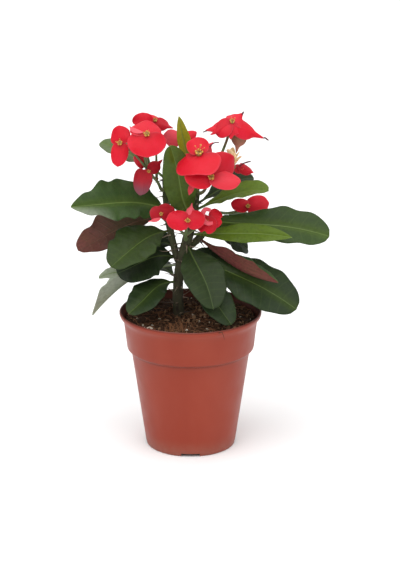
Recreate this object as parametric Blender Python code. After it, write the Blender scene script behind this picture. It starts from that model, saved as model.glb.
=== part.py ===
"""Potted crown of thorns (Euphorbia milii): a round plastic pot, its soil, a spiny branched stem,
separate leaves, branched flower stalks and pairs of round red bracts.

World frame: metres, +Z up, origin at the middle of the pot's underside, -Y is the front.
Every length named below is in millimetres and becomes metres when a mesh is made.
"""

import math

import bmesh
import bpy
import numpy as np
from mathutils import Matrix, Vector

MM = 0.001
GAP = 0.3  # clearance between two pieces that touch

# ---- Pot ------------------------------------------------------------------------------------
POT_HEIGHT = 118.0
RIM_RADIUS = 60.0
FOOT_RADIUS = 38.0
WALL = 1.3
FLOOR_THICKNESS = 1.6
# Outer outline, foot to rim: tapered body, step out to the collar, rolled lip.
POT_OUTLINE = [
    (FOOT_RADIUS - 1.2, 0.0),
    (FOOT_RADIUS, 1.0),
    (49.7, 81.0),
    (50.6, 84.5),
    (53.6, 86.5),
    (56.2, 110.0),
    (58.0, 111.2),
    (RIM_RADIUS, 113.2),
    (RIM_RADIUS, 116.8),
    (RIM_RADIUS - 1.0, POT_HEIGHT),
]
# Inner outline, rim to floor.
POT_INSIDE = [
    (57.6, POT_HEIGHT),
    (56.8, 116.8),
    (55.4, 113.2),
    (54.9, 110.0),
    (52.3, 87.5),
    (49.4, 85.5),
    (48.4, 81.0),
]
POT_SEGMENTS = 44
NOTCH_COUNT = 4
NOTCH_WIDTH = 16.0
NOTCH_HEIGHT = 2.8
NOTCH_DEPTH = 7.0

# ---- Soil -----------------------------------------------------------------------------------
SOIL_EDGE_HEIGHT = 109.5
SOIL_CROWN = 4.5  # how far the middle stands above the edge
SOIL_CLEARANCE = 0.6  # to the pot's facets
SOIL_SHOULDER = 2.0  # rounding of the edge
SOIL_SEGMENTS = 32
STEM_ROOT_HEIGHT = 88.0

# ---- Stem: (x, y, z, radius) down its middle ---------------------------------------------------
MAIN_STEM = [
    (-9.0, 0.0, STEM_ROOT_HEIGHT, 5.4),
    (-10.0, 0.0, 114.0, 4.8),
    (-10.5, 0.5, 138.0, 4.3),
    (-8.0, 1.0, 160.0, 4.2),
    (-1.5, 1.0, 184.0, 4.1),
    (3.0, 1.0, 206.0, 3.7),
    (5.0, 2.0, 222.0, 2.6),
    (5.5, 2.0, 228.0, 1.2),
]
LEFT_BRANCH = [
    (-8.6, 1.0, 155.0, 2.4),
    (-12.5, 2.0, 168.0, 2.9),
    (-17.0, 4.0, 188.0, 2.9),
    (-20.0, 6.0, 210.0, 2.8),
    (-21.0, 8.0, 230.0, 2.3),
    (-21.0, 9.0, 238.0, 1.3),
]
RIGHT_BRANCH = [
    (-5.5, 1.5, 170.0, 2.4),
    (4.0, 3.0, 177.0, 3.0),
    (13.0, 4.0, 187.0, 2.9),
    (19.0, 4.5, 198.0, 2.4),
    (21.0, 5.0, 205.0, 1.4),
]
STEM_SIDES = 10
THORN_LENGTH = 5.5
THORN_INSET = 0.5
THORN_CLEARANCE = 5.0  # no thorn stands this near to where a leaf or a stalk leaves the stem
# First and last ring of each stem that may carry thorns.
THORN_RINGS = {"main": (7, 23), "left": (4, 16), "right": (5, 11)}

# ---- Leaves -----------------------------------------------------------------------------------
LEAF_THICKNESS = 0.9
# name: (carrying stem, height on it, tip, width, widest, face, rise, fold, wave)
#   tip     x, y, z of the leaf's point
#   widest  how far along the leaf its greatest width lies, 0 to 1
#   face    direction that the upper side looks in
#   rise    how far the midrib bows above the straight line from base to tip
#   fold    degrees that each half turns up from flat
#   wave    height of the margin's waves
LEAVES = {
    "leaf_left_long": ("left", 206, (-98, -20, 214), 38, 0.50, (-0.1, -0.8, 0.7), 4, 8, 2.4),
    "leaf_left_maroon": ("left", 199, (-95, 16, 166), 34, 0.60, (0.2, 0.8, 0.5), 5, 10, 1.6),
    "leaf_left_broad": ("left", 187, (-65, -35, 167), 38, 0.58, (-0.2, -0.7, 0.7), 5, 8, 1.2),
    "leaf_left_dark": ("left", 165, (-61, -12, 154), 35, 0.56, (0.0, -0.6, 0.8), 4, 8, 1.0),
    "leaf_middle_left": ("left", 174, (-42, 30, 158), 22, 0.55, (0.0, -0.7, 0.7), 4, 8, 0.6),
    "leaf_middle_right": ("main", 166, (36, 5, 156), 20, 0.55, (0.1, -0.85, 0.5), 1, 8, 0.5),
    "leaf_left_folded": ("main", 158, (-84, 17, 108), 30, 0.62, (-0.8, 0.2, 0.5), 11, 35, 0.5),
    "leaf_left_low": ("main", 144, (-51, -33, 126), 29, 0.60, (-0.2, -0.6, 0.8), 5, 8, 0.6),
    "leaf_front": ("main", 175, (19, -48, 135), 31, 0.60, (0.1, -0.75, 0.65), 5, 8, 0.6),
    "leaf_front_low": ("main", 157, (34, -44, 120), 29, 0.66, (0.2, -0.6, 0.8), 5, 8, 0.5),
    "leaf_right_low": ("main", 168, (88, -28, 128), 42, 0.66, (0.15, -0.75, 0.65), 3, 8, 1.0),
    "leaf_right_maroon": ("right", 180, (72, -44, 157), 24, 0.55, (0.0, 0.5, 0.85), -7, 55, 0.4),
    "leaf_right_long": ("main", 197, (115, -14, 187), 34, 0.70, (0.1, -0.7, 0.7), 2, 10, 1.2),
    "leaf_right_bright": ("main", 185, (83, -34, 192), 17, 0.62, (0.1, -0.82, 0.55), 2, 8, 0.5),
    "leaf_right_high": ("main", 208, (64, -20, 228), 24, 0.60, (-0.2, -0.3, 0.9), 4, 14, 0.6),
    "leaf_upright": ("main", 203, (-16, -26, 267), 25, 0.58, (0.0, 1.0, -0.3), -5, 8, 0.6),
    "leaf_young": ("main", 225, (-9, -8, 287), 11, 0.66, (0.3, -0.9, 0.2), 2, 8, 0.3),
    "leaf_back_pale": ("left", 233, (-75, 27, 257), 25, 0.66, (0.0, -0.3, 0.95), 3, 10, 0.6),
    "leaf_back_dark": ("main", 212, (53, 20, 228), 22, 0.60, (0.0, -0.4, 0.9), 4, 10, 0.6),
    "leaf_right_shade": ("right", 184, (49, 28, 163), 29, 0.60, (0.2, -0.5, 0.8), 5, 10, 0.6),
    "leaf_back_left_high": ("left", 194, (-62, 54, 195), 30, 0.60, (-0.2, 0.2, 0.95), 6, 10, 1.0),
    "leaf_back_right_high": ("right", 193, (74, 52, 182), 31, 0.60, (0.2, 0.3, 0.95), 4, 10, 1.0),
    "leaf_back_right_low": ("main", 163, (58, 42, 134), 30, 0.60, (0.3, 0.4, 0.8), 7, 8, 0.8),
    "leaf_back_left_low": ("main", 147, (-50, 44, 136), 30, 0.60, (-0.3, 0.3, 0.9), 7, 8, 0.8),
    "leaf_back_high": ("main", 214, (6, 66, 226), 28, 0.60, (0.0, -0.1, 1.0), 6, 10, 1.0),
    "leaf_back_mid": ("main", 184, (-16, 74, 182), 31, 0.60, (0.0, 0.3, 0.95), 8, 8, 1.0),
    "leaf_back_low": ("main", 152, (10, 66, 133), 30, 0.60, (0.1, 0.5, 0.85), 8, 8, 0.8),
}
LEAF_STATIONS = (0.0, 0.12, 0.28, 0.45, 0.62, 0.77, 0.9, 1.0)
SHEET_ACROSS = (-1.0, -0.5, 0.0, 0.5, 1.0)
LEAF_BASE_HALF_WIDTH = 1.1
LEAF_TIP_HALF_WIDTH = 0.7
WAVES_PER_LEAF = 2.5

# ---- Flowers: two bracts on one cup ---------------------------------------------------------------
BRACT_THICKNESS = 0.8
# name: (cup middle, first bract's far edge, second bract's far edge, two widths, face)
FLOWERS = {
    "flower_left_outer": ((-56, -20, 268), (-60, -14, 281), (-60, -31, 252), (18, 15), (-0.4, -0.8, 0.4)),
    "flower_left_front": ((-36, -25, 275), (-35, -14, 285), (-35, -39, 262), (24, 29), (0.0, -0.7, 0.7)),
    "flower_left_back": ((-38, -3, 278), (-44, 4, 286), (-30, -4, 272), (18, 12), (-0.2, -0.8, 0.6)),
    "flower_left_top": ((-28, 2, 280), (-37, 8, 283), (-15, 0, 273), (12, 13), (0.2, -0.6, 0.8)),
    "flower_left_hanging": ((-34, -16, 242), (-46, -22, 227), (-24, -11, 250), (17, 9), (0.1, -0.9, 0.3)),
    "flower_middle_back": ((-9, 8, 262), (-21, 6, 268), (5, 8, 267), (14, 9), (0.0, -0.8, 0.6)),
    "flower_middle_upper": ((7, -27, 260), (8, -15, 272), (5, -48, 241), (22, 37), (0.0, -0.75, 0.65)),
    "flower_middle_lower": ((17, -33, 242), (41, -27, 251), (2, -30, 239), (29, 13), (0.1, -0.9, 0.4)),
    "flower_right_top": ((34, 0, 281), (14, -6, 275), (60, -4, 269), (26, 25), (0.1, -0.4, 0.9)),
    "flower_right_small": ((43, 8, 237), (36, 6, 240), (51, 6, 234), (8, 9), (0.0, -0.8, 0.6)),
    "flower_right_behind": ((47, 14, 205), (34, 12, 205), (65, 10, 205), (12, 15), (0.0, -0.7, 0.7)),
    "flower_low_front": ((-2, -27, 204), (-19, -29, 204), (12, -29, 205), (15, 15), (0.0, -0.9, 0.4)),
    "flower_low_right": ((14, -17, 200), (7, -17, 210), (27, -19, 195), (10, 17), (0.1, -0.9, 0.3)),
    "flower_low_left": ((-24, -17, 207), (-14, -17, 212), (-34, -21, 203), (10, 9), (0.0, -0.9, 0.4)),
}
BRACT_STATIONS = (0.0, 0.2, 0.45, 0.7, 0.9, 1.0)
# name: (foot, tip, width)
BUDS = {
    "young_flower_cream": ((34, -4, 246), (32, -3, 259), 9.0),
}

# ---- Flower stalks ----------------------------------------------------------------------------------
TRUNK_RADIUS = 1.3
FORK_RADIUS = 0.8
STALK_END_RADIUS = 0.5
DEPARTURE = 2.8  # level stretch of a stalk where it leaves the stem
ARRIVAL = 3.5  # straight stretch of a stalk behind its flower
# name: (carrying stem, height on it, points on the way, flower at the trunk's end, forks), where
# each fork is (place along the trunk 0 to 1, points on the way, flower).
STALKS = {
    "flower_stalk_left": (
        "left", 222, [(-27, -5, 231), (-33, -9, 240), (-37, -11, 252)], "flower_left_front",
        [
            (0.50, [(-46, -13, 257)], "flower_left_outer"),
            (0.45, [(-37, 2, 262)], "flower_left_back"),
            (0.35, [(-28, 4, 258), (-27, 7, 270)], "flower_left_top"),
            (0.35, [(-34, -10, 240)], "flower_left_hanging"),
        ],
    ),
    "flower_stalk_middle": (
        "main", 221, [(6, -7, 226), (7, -10, 236), (8, -16, 248)], "flower_middle_upper",
        [
            (0.45, [(13, -18, 240)], "flower_middle_lower"),
            (0.25, [(3, 9, 243), (-7, 12, 253)], "flower_middle_back"),
        ],
    ),
    "flower_stalk_right": (
        "main", 219, [(13, 3, 224), (18, 4, 237), (27, 3, 256)], "flower_right_top",
        [
            (0.35, [(34, 10, 236)], "flower_right_small"),
            (0.50, [(31, 1, 238)], "young_flower_cream"),
        ],
    ),
    "flower_stalk_low": (
        "main", 182, [(-4, -12, 187), (-3, -20, 196)], "flower_low_front",
        [
            (0.40, [(6, -12, 194)], "flower_low_right"),
            (0.40, [(-14, -10, 196)], "flower_low_left"),
        ],
    ),
    "flower_stalk_behind": ("right", 201, [(33, 14, 199)], "flower_right_behind", []),
}
STALK_SIDES = 7

# ---- Colours ------------------------------------------------------------------------------------
TERRACOTTA = (0.42, 0.085, 0.045, 1.0)
PEAT = (0.035, 0.018, 0.010, 1.0)
BARK = (0.10, 0.085, 0.045, 1.0)
LEAF_GREEN = (0.035, 0.085, 0.025, 1.0)
STALK_GREEN = (0.12, 0.17, 0.06, 1.0)
BRACT_RED = (0.75, 0.012, 0.035, 1.0)
BUD_CREAM = (0.80, 0.66, 0.32, 1.0)


def clear_scene():
    for obj in list(bpy.data.objects):
        bpy.data.objects.remove(obj, do_unlink=True)


def make_material(name, colour, roughness):
    material = bpy.data.materials.new(name)
    material.use_nodes = True
    shader = material.node_tree.nodes["Principled BSDF"]
    shader.inputs["Base Color"].default_value = colour
    shader.inputs["Roughness"].default_value = roughness
    shader.inputs["Metallic"].default_value = 0.0
    return material


def add_object(name, points, faces, material, sharp_degrees=35.0):
    """Turns points in millimetres and their faces into an object with outward normals."""
    mesh = bpy.data.meshes.new(name)
    mesh.from_pydata([tuple(Vector(point) * MM) for point in points], [], faces)
    shape = bmesh.new()
    shape.from_mesh(mesh)
    bmesh.ops.recalc_face_normals(shape, faces=shape.faces)
    shape.to_mesh(mesh)
    shape.free()
    mesh.shade_smooth()
    mesh.set_sharp_from_angle(angle=math.radians(sharp_degrees))
    mesh.materials.append(material)
    obj = bpy.data.objects.new(name, mesh)
    bpy.context.scene.collection.objects.link(obj)
    return obj


def make_helper(obj):
    """Marks a cutter, or a piece that a Boolean joins to another, as no piece of its own."""
    obj.hide_render = True
    obj.display_type = "WIRE"


def add_boolean(obj, other, operation):
    modifier = obj.modifiers.new(f"{operation}_{other.name}", "BOOLEAN")
    modifier.operation = operation
    modifier.solver = "EXACT"
    modifier.object = other


def turned(profile, segments):
    """A solid of revolution about Z: profile runs (radius, height), a zero radius is a pole."""
    points = []
    rings = []
    for radius, height in profile:
        if radius == 0.0:
            rings.append([len(points)])
            points.append((0.0, 0.0, height))
            continue
        rings.append(list(range(len(points), len(points) + segments)))
        for step in range(segments):
            angle = 2.0 * math.pi * step / segments
            points.append((radius * math.cos(angle), radius * math.sin(angle), height))
    faces = []
    for lower, upper in zip(rings, rings[1:]):
        for step in range(segments):
            after = (step + 1) % segments
            if len(lower) == 1:
                faces.append((lower[0], upper[after], upper[step]))
            elif len(upper) == 1:
                faces.append((lower[step], lower[after], upper[0]))
            else:
                faces.append((lower[step], lower[after], upper[after], upper[step]))
    return points, faces


def smooth_path(controls, samples):
    """Catmull-Rom curve through the control rows, read at evenly spaced parameters."""
    rows = np.array(controls, float)
    padded = np.vstack([2.0 * rows[0] - rows[1], rows, 2.0 * rows[-1] - rows[-2]])
    places = np.linspace(0.0, len(rows) - 1.0, samples)
    span = np.minimum(places.astype(int), len(rows) - 2)
    t = (places - span)[:, None]
    before, start, end, after = (padded[span + offset] for offset in range(4))
    return 0.5 * (
        2.0 * start
        + (end - before) * t
        + (2.0 * before - 5.0 * start + 4.0 * end - after) * t**2
        + (3.0 * start - before - 3.0 * end + after) * t**3
    )


def unit(vector):
    return np.asarray(vector, float) / np.linalg.norm(vector)


def tube(path, sides):
    """Closed round tube along rows of (x, y, z, radius)."""
    middles = path[:, :3]
    tangents = np.gradient(middles, axis=0)
    points = []
    for middle, tangent, radius in zip(middles, tangents, path[:, 3]):
        along = unit(tangent)
        across = unit(np.cross(along, (0.0, 1.0, 0.13)))
        beside = np.cross(across, along)
        for step in range(sides):
            angle = 2.0 * math.pi * step / sides
            points.append(middle + radius * (math.cos(angle) * across + math.sin(angle) * beside))
    faces = []
    for ring in range(len(path) - 1):
        for step in range(sides):
            after = (step + 1) % sides
            low, high = ring * sides, (ring + 1) * sides
            faces.append((low + step, low + after, high + after, high + step))
    last = (len(path) - 1) * sides
    faces.append(tuple(range(sides)))
    faces.append(tuple(last + step for step in range(sides)))
    return points, faces


def raise_thorns(obj, rings, keep_clear):
    """Draws single faces of a stem out into thorns, three round every other ring, turned as they climb."""
    shape = bmesh.new()
    shape.from_mesh(obj.data)
    shape.faces.ensure_lookup_table()
    chosen = []
    for ring in range(rings[0], rings[1], 2):
        for arm in range(3):
            face = shape.faces[ring * STEM_SIDES + (arm * STEM_SIDES // 3 + ring * 2) % STEM_SIDES]
            middle = np.array(face.calc_center_median()) / MM
            if np.linalg.norm(keep_clear - middle, axis=1).min() > THORN_CLEARANCE:
                chosen.append(face)
    bmesh.ops.inset_individual(shape, faces=chosen, thickness=THORN_INSET * MM)
    bmesh.ops.poke(shape, faces=chosen, offset=THORN_LENGTH * MM)
    shape.to_mesh(obj.data)
    shape.free()


def sheet_solid(middles, halves, normals, sides, folds, waves, thickness):
    """Thin closed solid over a grid: one row across each middle point.

    A row runs along the side vector to its half width, turned up by the fold angle on either
    side, with the wave height added towards the margin; the second skin lies one thickness under.
    """
    across = np.array(SHEET_ACROSS)
    reach = halves[:, None] * across[None, :]
    lift = np.abs(reach) * np.tan(np.radians(folds))[:, None] + waves[:, None] * across[None, :] ** 2
    out = reach * np.cos(np.radians(folds))[:, None]
    grid = middles[:, None, :] + out[..., None] * sides[:, None, :] + lift[..., None] * normals[:, None, :]
    upper = grid + 0.5 * thickness * normals[:, None, :]
    lower = grid - 0.5 * thickness * normals[:, None, :]
    rows, columns = reach.shape
    points = np.concatenate([upper.reshape(-1, 3), lower.reshape(-1, 3)])
    under = rows * columns
    faces = []
    for row in range(rows - 1):
        for column in range(columns - 1):
            a = row * columns + column
            b, c, d = a + 1, a + columns + 1, a + columns
            faces.append((a, b, c, d))
            faces.append((under + a, under + d, under + c, under + b))
    border = [column for column in range(columns)]
    border += [row * columns + columns - 1 for row in range(1, rows)]
    border += [(rows - 1) * columns + column for column in range(columns - 2, -1, -1)]
    border += [row * columns for row in range(rows - 2, 0, -1)]
    for here, there in zip(border, border[1:] + border[:1]):
        faces.append((here, under + here, under + there, there))
    return points, faces


def frames_along(middles, face):
    """Unit tangents, side vectors and normals of a midrib whose upper side looks towards face."""
    tangents = np.gradient(middles, axis=0)
    tangents /= np.linalg.norm(tangents, axis=1)[:, None]
    face = unit(face)
    normals = face - (tangents @ face)[:, None] * tangents
    normals /= np.linalg.norm(normals, axis=1)[:, None]
    return normals, np.cross(tangents, normals)


def stem_point(path, height):
    """Middle and radius of a stem where it passes this height."""
    return np.array([np.interp(height, path[:, 2], path[:, column]) for column in range(4)])


def leave_stem(path, height, towards, clearance=0.3):
    """Point just clear of a stem's side at this height, on the side that looks towards a point."""
    place = stem_point(path, height)
    heading = unit((towards[0] - place[0], towards[1] - place[1], 0.0))
    return place[:3] + heading * (1.06 * place[3] + GAP + clearance)


def leaf_half_widths(t, width, widest):
    """Drawn out to a stalk at the base, round at the tip, greatest where t is widest."""
    swelling = np.sin(np.pi * t ** (math.log(0.5) / math.log(widest)))
    shape = np.clip(swelling, 0.0, 1.0) ** (0.95 - 0.45 * t)
    least = LEAF_BASE_HALF_WIDTH + (LEAF_TIP_HALF_WIDTH - LEAF_BASE_HALF_WIDTH) * t
    return np.maximum(0.5 * width * shape, least)


def make_leaf(name, stems, values, material):
    stem, height, tip, width, widest, face, rise, fold, wave = values
    base = leave_stem(stems[stem], height, tip)
    tip = np.array(tip, float)
    # A steep leaf stands half its stalk's width further out, so that it clears the stem.
    steepness = max(0.0, unit(tip - base)[2])
    base = leave_stem(stems[stem], height, tip, 0.3 + 0.5 * steepness * LEAF_BASE_HALF_WIDTH)
    t = np.array(LEAF_STATIONS)
    middles = base + (tip - base) * t[:, None] + np.outer(4.0 * rise * t * (1.0 - t), (0.0, 0.0, 1.0))
    normals, sides = frames_along(middles, face)
    halves = leaf_half_widths(t, width, widest)
    folds = fold * np.minimum(1.0, 4.0 * t * (1.15 - t))
    waves = wave * np.sin(2.0 * np.pi * WAVES_PER_LEAF * t) * np.sin(np.pi * t)
    points, faces = sheet_solid(middles, halves, normals, sides, folds, waves, LEAF_THICKNESS)
    add_object(name, points, faces, material)


def bract_half_widths(v, width):
    """Almost round, pinched where the bract joins the cup."""
    return 0.5 * width * np.sin(np.pi * (0.04 + 0.93 * v**0.8)) ** 0.6


def make_flower(name, values, material):
    """One strip runs from one bract's edge, across the cup, to the other bract's edge."""
    cup, first, second, widths, face = values
    cup, first, second = (np.array(point, float) for point in (cup, first, second))
    v = np.array(BRACT_STATIONS)
    one = cup + (first - cup) * v[:, None]
    two = cup + (second - cup) * v[:, None]
    middles = np.vstack([one[::-1], two[1:]])
    halves = np.concatenate([bract_half_widths(v, widths[0])[::-1], bract_half_widths(v, widths[1])[1:]])
    normals, sides = frames_along(middles, face)
    flat = np.zeros(len(middles))
    points, faces = sheet_solid(middles, halves, normals, sides, flat, flat, BRACT_THICKNESS)
    add_object(name, points, faces, material)


def make_pot(material):
    """Tapered shell with a collar and a rolled lip, open on top, drain notches through its foot."""
    profile = [(0.0, 0.0)] + POT_OUTLINE + POT_INSIDE
    profile += [(FOOT_RADIUS - WALL, FLOOR_THICKNESS), (0.0, FLOOR_THICKNESS)]
    points, faces = turned(profile, POT_SEGMENTS)
    pot = add_object("pot", points, faces, material)
    for index in range(NOTCH_COUNT):
        bpy.ops.mesh.primitive_cube_add(size=MM)
        cutter = bpy.context.object
        cutter.name = f"notch_cutter_{index + 1}"
        cutter.data.transform(Matrix.Diagonal((NOTCH_WIDTH, 2.0 * NOTCH_DEPTH, 2.0 * NOTCH_HEIGHT, 1.0)))
        angle = -0.5 * math.pi + index * 2.0 * math.pi / NOTCH_COUNT
        cutter.location = Vector((math.cos(angle), math.sin(angle), 0.0)) * FOOT_RADIUS * MM
        cutter.rotation_euler.z = angle + 0.5 * math.pi
        make_helper(cutter)
        add_boolean(pot, cutter, "DIFFERENCE")


def make_soil(stem, material):
    """Plug that fills the pot up to a low mound, with a pocket where the stem is rooted."""
    floor = FLOOR_THICKNESS + GAP
    profile = [(0.0, floor), (FOOT_RADIUS - WALL - SOIL_CLEARANCE, floor)]
    profile += [(radius - SOIL_CLEARANCE, height) for radius, height in reversed(POT_INSIDE)
                if height < SOIL_EDGE_HEIGHT - SOIL_SHOULDER]
    inside = np.array(POT_INSIDE[::-1])
    edge = np.interp(SOIL_EDGE_HEIGHT, inside[:, 1], inside[:, 0]) - SOIL_CLEARANCE
    profile += [(edge, SOIL_EDGE_HEIGHT - SOIL_SHOULDER)]
    for share in (0.95, 0.75, 0.45, 0.2, 0.0):
        profile.append((edge * share, SOIL_EDGE_HEIGHT + SOIL_CROWN * math.cos(0.5 * math.pi * share)))
    points, faces = turned(profile, SOIL_SEGMENTS)
    soil = add_object("soil", points, faces, material)
    root = stem[stem[:, 2] < SOIL_EDGE_HEIGHT + 16.0].copy()
    root[:, 3] += GAP + 0.2
    root[0, 2] -= GAP
    points, faces = tube(root, STEM_SIDES)
    pocket = add_object("root_pocket", points, faces, material)
    make_helper(pocket)
    add_boolean(soil, pocket, "DIFFERENCE")


def make_stem(stems, material):
    """Main stem with two side branches, grown together, thorns on all three."""
    keep_clear = [leave_stem(stems[values[0]], values[1], values[2]) for values in LEAVES.values()]
    keep_clear += [leave_stem(stems[values[0]], values[1], values[2][0]) for values in STALKS.values()]
    objects = {}
    for name, path in stems.items():
        points, faces = tube(path, STEM_SIDES)
        objects[name] = add_object("stem" if name == "main" else f"branch_{name}", points, faces, material)
        raise_thorns(objects[name], THORN_RINGS[name], np.array(keep_clear))
    for name in ("left", "right"):
        make_helper(objects[name])
        add_boolean(objects["main"], objects[name], "UNION")


def stalk_end(flower):
    """The last two points of a stalk: square behind a flower's cup, or under a bud's foot."""
    if flower in BUDS:
        foot, tip = (np.array(point, float) for point in BUDS[flower][:2])
        along = unit(tip - foot)
        return [foot - ARRIVAL * along, foot - GAP * along]
    cup, first, second, _, face = FLOWERS[flower]
    cup, first, second = (np.array(point, float) for point in (cup, first, second))
    run = unit(second - first)
    normal = unit(unit(face) - (unit(face) @ run) * run)
    seat = 0.5 * BRACT_THICKNESS + GAP
    return [cup - (ARRIVAL + seat) * normal, cup - seat * normal]


def stalk_tube(name, controls, radius, samples, material):
    radii = np.full(len(controls), radius)
    radii[-1] = STALK_END_RADIUS
    rows = np.column_stack([np.array(controls, float), radii])
    path = smooth_path(rows, samples)
    points, faces = tube(path, STALK_SIDES)
    return path, add_object(name, points, faces, material)


def make_stalk(name, stems, values, material):
    """A trunk from the stem to one flower, and forks that leave the trunk for the others."""
    stem, height, way, flower, forks = values
    start = leave_stem(stems[stem], height, way[0])
    outward = unit((way[0][0] - start[0], way[0][1] - start[1], 0.0))
    controls = [start, start + DEPARTURE * outward, *way, *stalk_end(flower)]
    path, trunk = stalk_tube(name, controls, TRUNK_RADIUS, 2 * len(controls) + 1, material)
    for number, (place, fork_way, fork_flower) in enumerate(forks, 1):
        root = path[round(place * (len(path) - 1)), :3]
        controls = [root, *fork_way, *stalk_end(fork_flower)]
        _, fork = stalk_tube(f"{name}_fork_{number}", controls, FORK_RADIUS, 2 * len(controls) + 1, material)
        make_helper(fork)
        add_boolean(trunk, fork, "UNION")


def make_bud(name, values, material):
    """Closed pointed bud from its foot to its tip."""
    foot, tip, width = values
    foot, tip = np.array(foot, float), np.array(tip, float)
    t = np.array([0.0, 0.25, 0.55, 0.8, 1.0])
    radii = 0.5 * width * np.array([0.3, 0.85, 1.0, 0.6, 0.1])
    rows = np.column_stack([foot + (tip - foot) * t[:, None], radii])
    points, faces = tube(rows, STALK_SIDES)
    add_object(name, points, faces, material)


def main():
    clear_scene()
    bark = make_material("bark", BARK, 0.8)
    leaf_green = make_material("leaf_green", LEAF_GREEN, 0.45)
    stalk_green = make_material("stalk_green", STALK_GREEN, 0.5)
    bract_red = make_material("bract_red", BRACT_RED, 0.5)
    stems = {
        "main": smooth_path(MAIN_STEM, 26),
        "left": smooth_path(LEFT_BRANCH, 18),
        "right": smooth_path(RIGHT_BRANCH, 13),
    }
    make_pot(make_material("terracotta_plastic", TERRACOTTA, 0.42))
    make_soil(stems["main"], make_material("peat", PEAT, 0.95))
    make_stem(stems, bark)
    for name, values in LEAVES.items():
        make_leaf(name, stems, values, leaf_green)
    for name, values in STALKS.items():
        make_stalk(name, stems, values, stalk_green)
    for name, values in FLOWERS.items():
        make_flower(name, values, bract_red)
    bud_cream = make_material("bud_cream", BUD_CREAM, 0.5)
    for name, values in BUDS.items():
        make_bud(name, values, bud_cream)


main()
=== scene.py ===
"""Looks of a potted crown of thorns, built around its packed construction frame.

Laid out as a Blender add-on: property groups hold the sizes and colours that a user would change,
operators make the pieces, and a sidebar panel lists them. Tables are in millimetres; meshes are in
metres, in the frame's own axes: +Z up, -Y the front, origin under the middle of the pot.
"""

import math

import bmesh
import bpy
import numpy as np
from bpy.props import FloatProperty, FloatVectorProperty, IntProperty, PointerProperty
from mathutils import Matrix, Vector


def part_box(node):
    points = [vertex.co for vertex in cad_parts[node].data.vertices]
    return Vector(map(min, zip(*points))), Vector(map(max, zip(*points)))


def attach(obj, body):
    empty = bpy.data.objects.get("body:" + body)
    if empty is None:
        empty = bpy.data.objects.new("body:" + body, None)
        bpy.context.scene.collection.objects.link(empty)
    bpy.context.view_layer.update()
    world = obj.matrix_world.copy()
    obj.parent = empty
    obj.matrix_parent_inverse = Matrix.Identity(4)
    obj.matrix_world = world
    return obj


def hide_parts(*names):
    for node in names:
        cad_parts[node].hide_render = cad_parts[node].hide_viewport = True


bl_info = {
    "name": "Potted crown of thorns",
    "version": (1, 0, 0),
    "blender": (4, 5, 0),
    "location": "3D View > Sidebar > Plant",
    "description": "Builds the pot, soil, spiny stem, leaves and red flowers of a crown of thorns",
    "category": "Add Mesh",
}

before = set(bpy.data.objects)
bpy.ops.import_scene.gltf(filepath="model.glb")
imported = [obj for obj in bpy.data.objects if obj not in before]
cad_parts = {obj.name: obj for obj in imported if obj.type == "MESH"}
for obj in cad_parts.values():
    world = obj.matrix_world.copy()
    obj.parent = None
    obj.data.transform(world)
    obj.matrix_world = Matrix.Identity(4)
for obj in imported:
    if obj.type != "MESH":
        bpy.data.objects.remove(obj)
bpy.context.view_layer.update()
MM = 0.001
GOLDEN_ANGLE = math.radians(137.5)
# Close to the Y axis, and along no stem, stalk or thorn, so that a cross product with it never vanishes.
NEARLY_AHEAD = (0.0, 1.0, 0.13)


# ---- What each piece of the plant looks like ----

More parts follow.
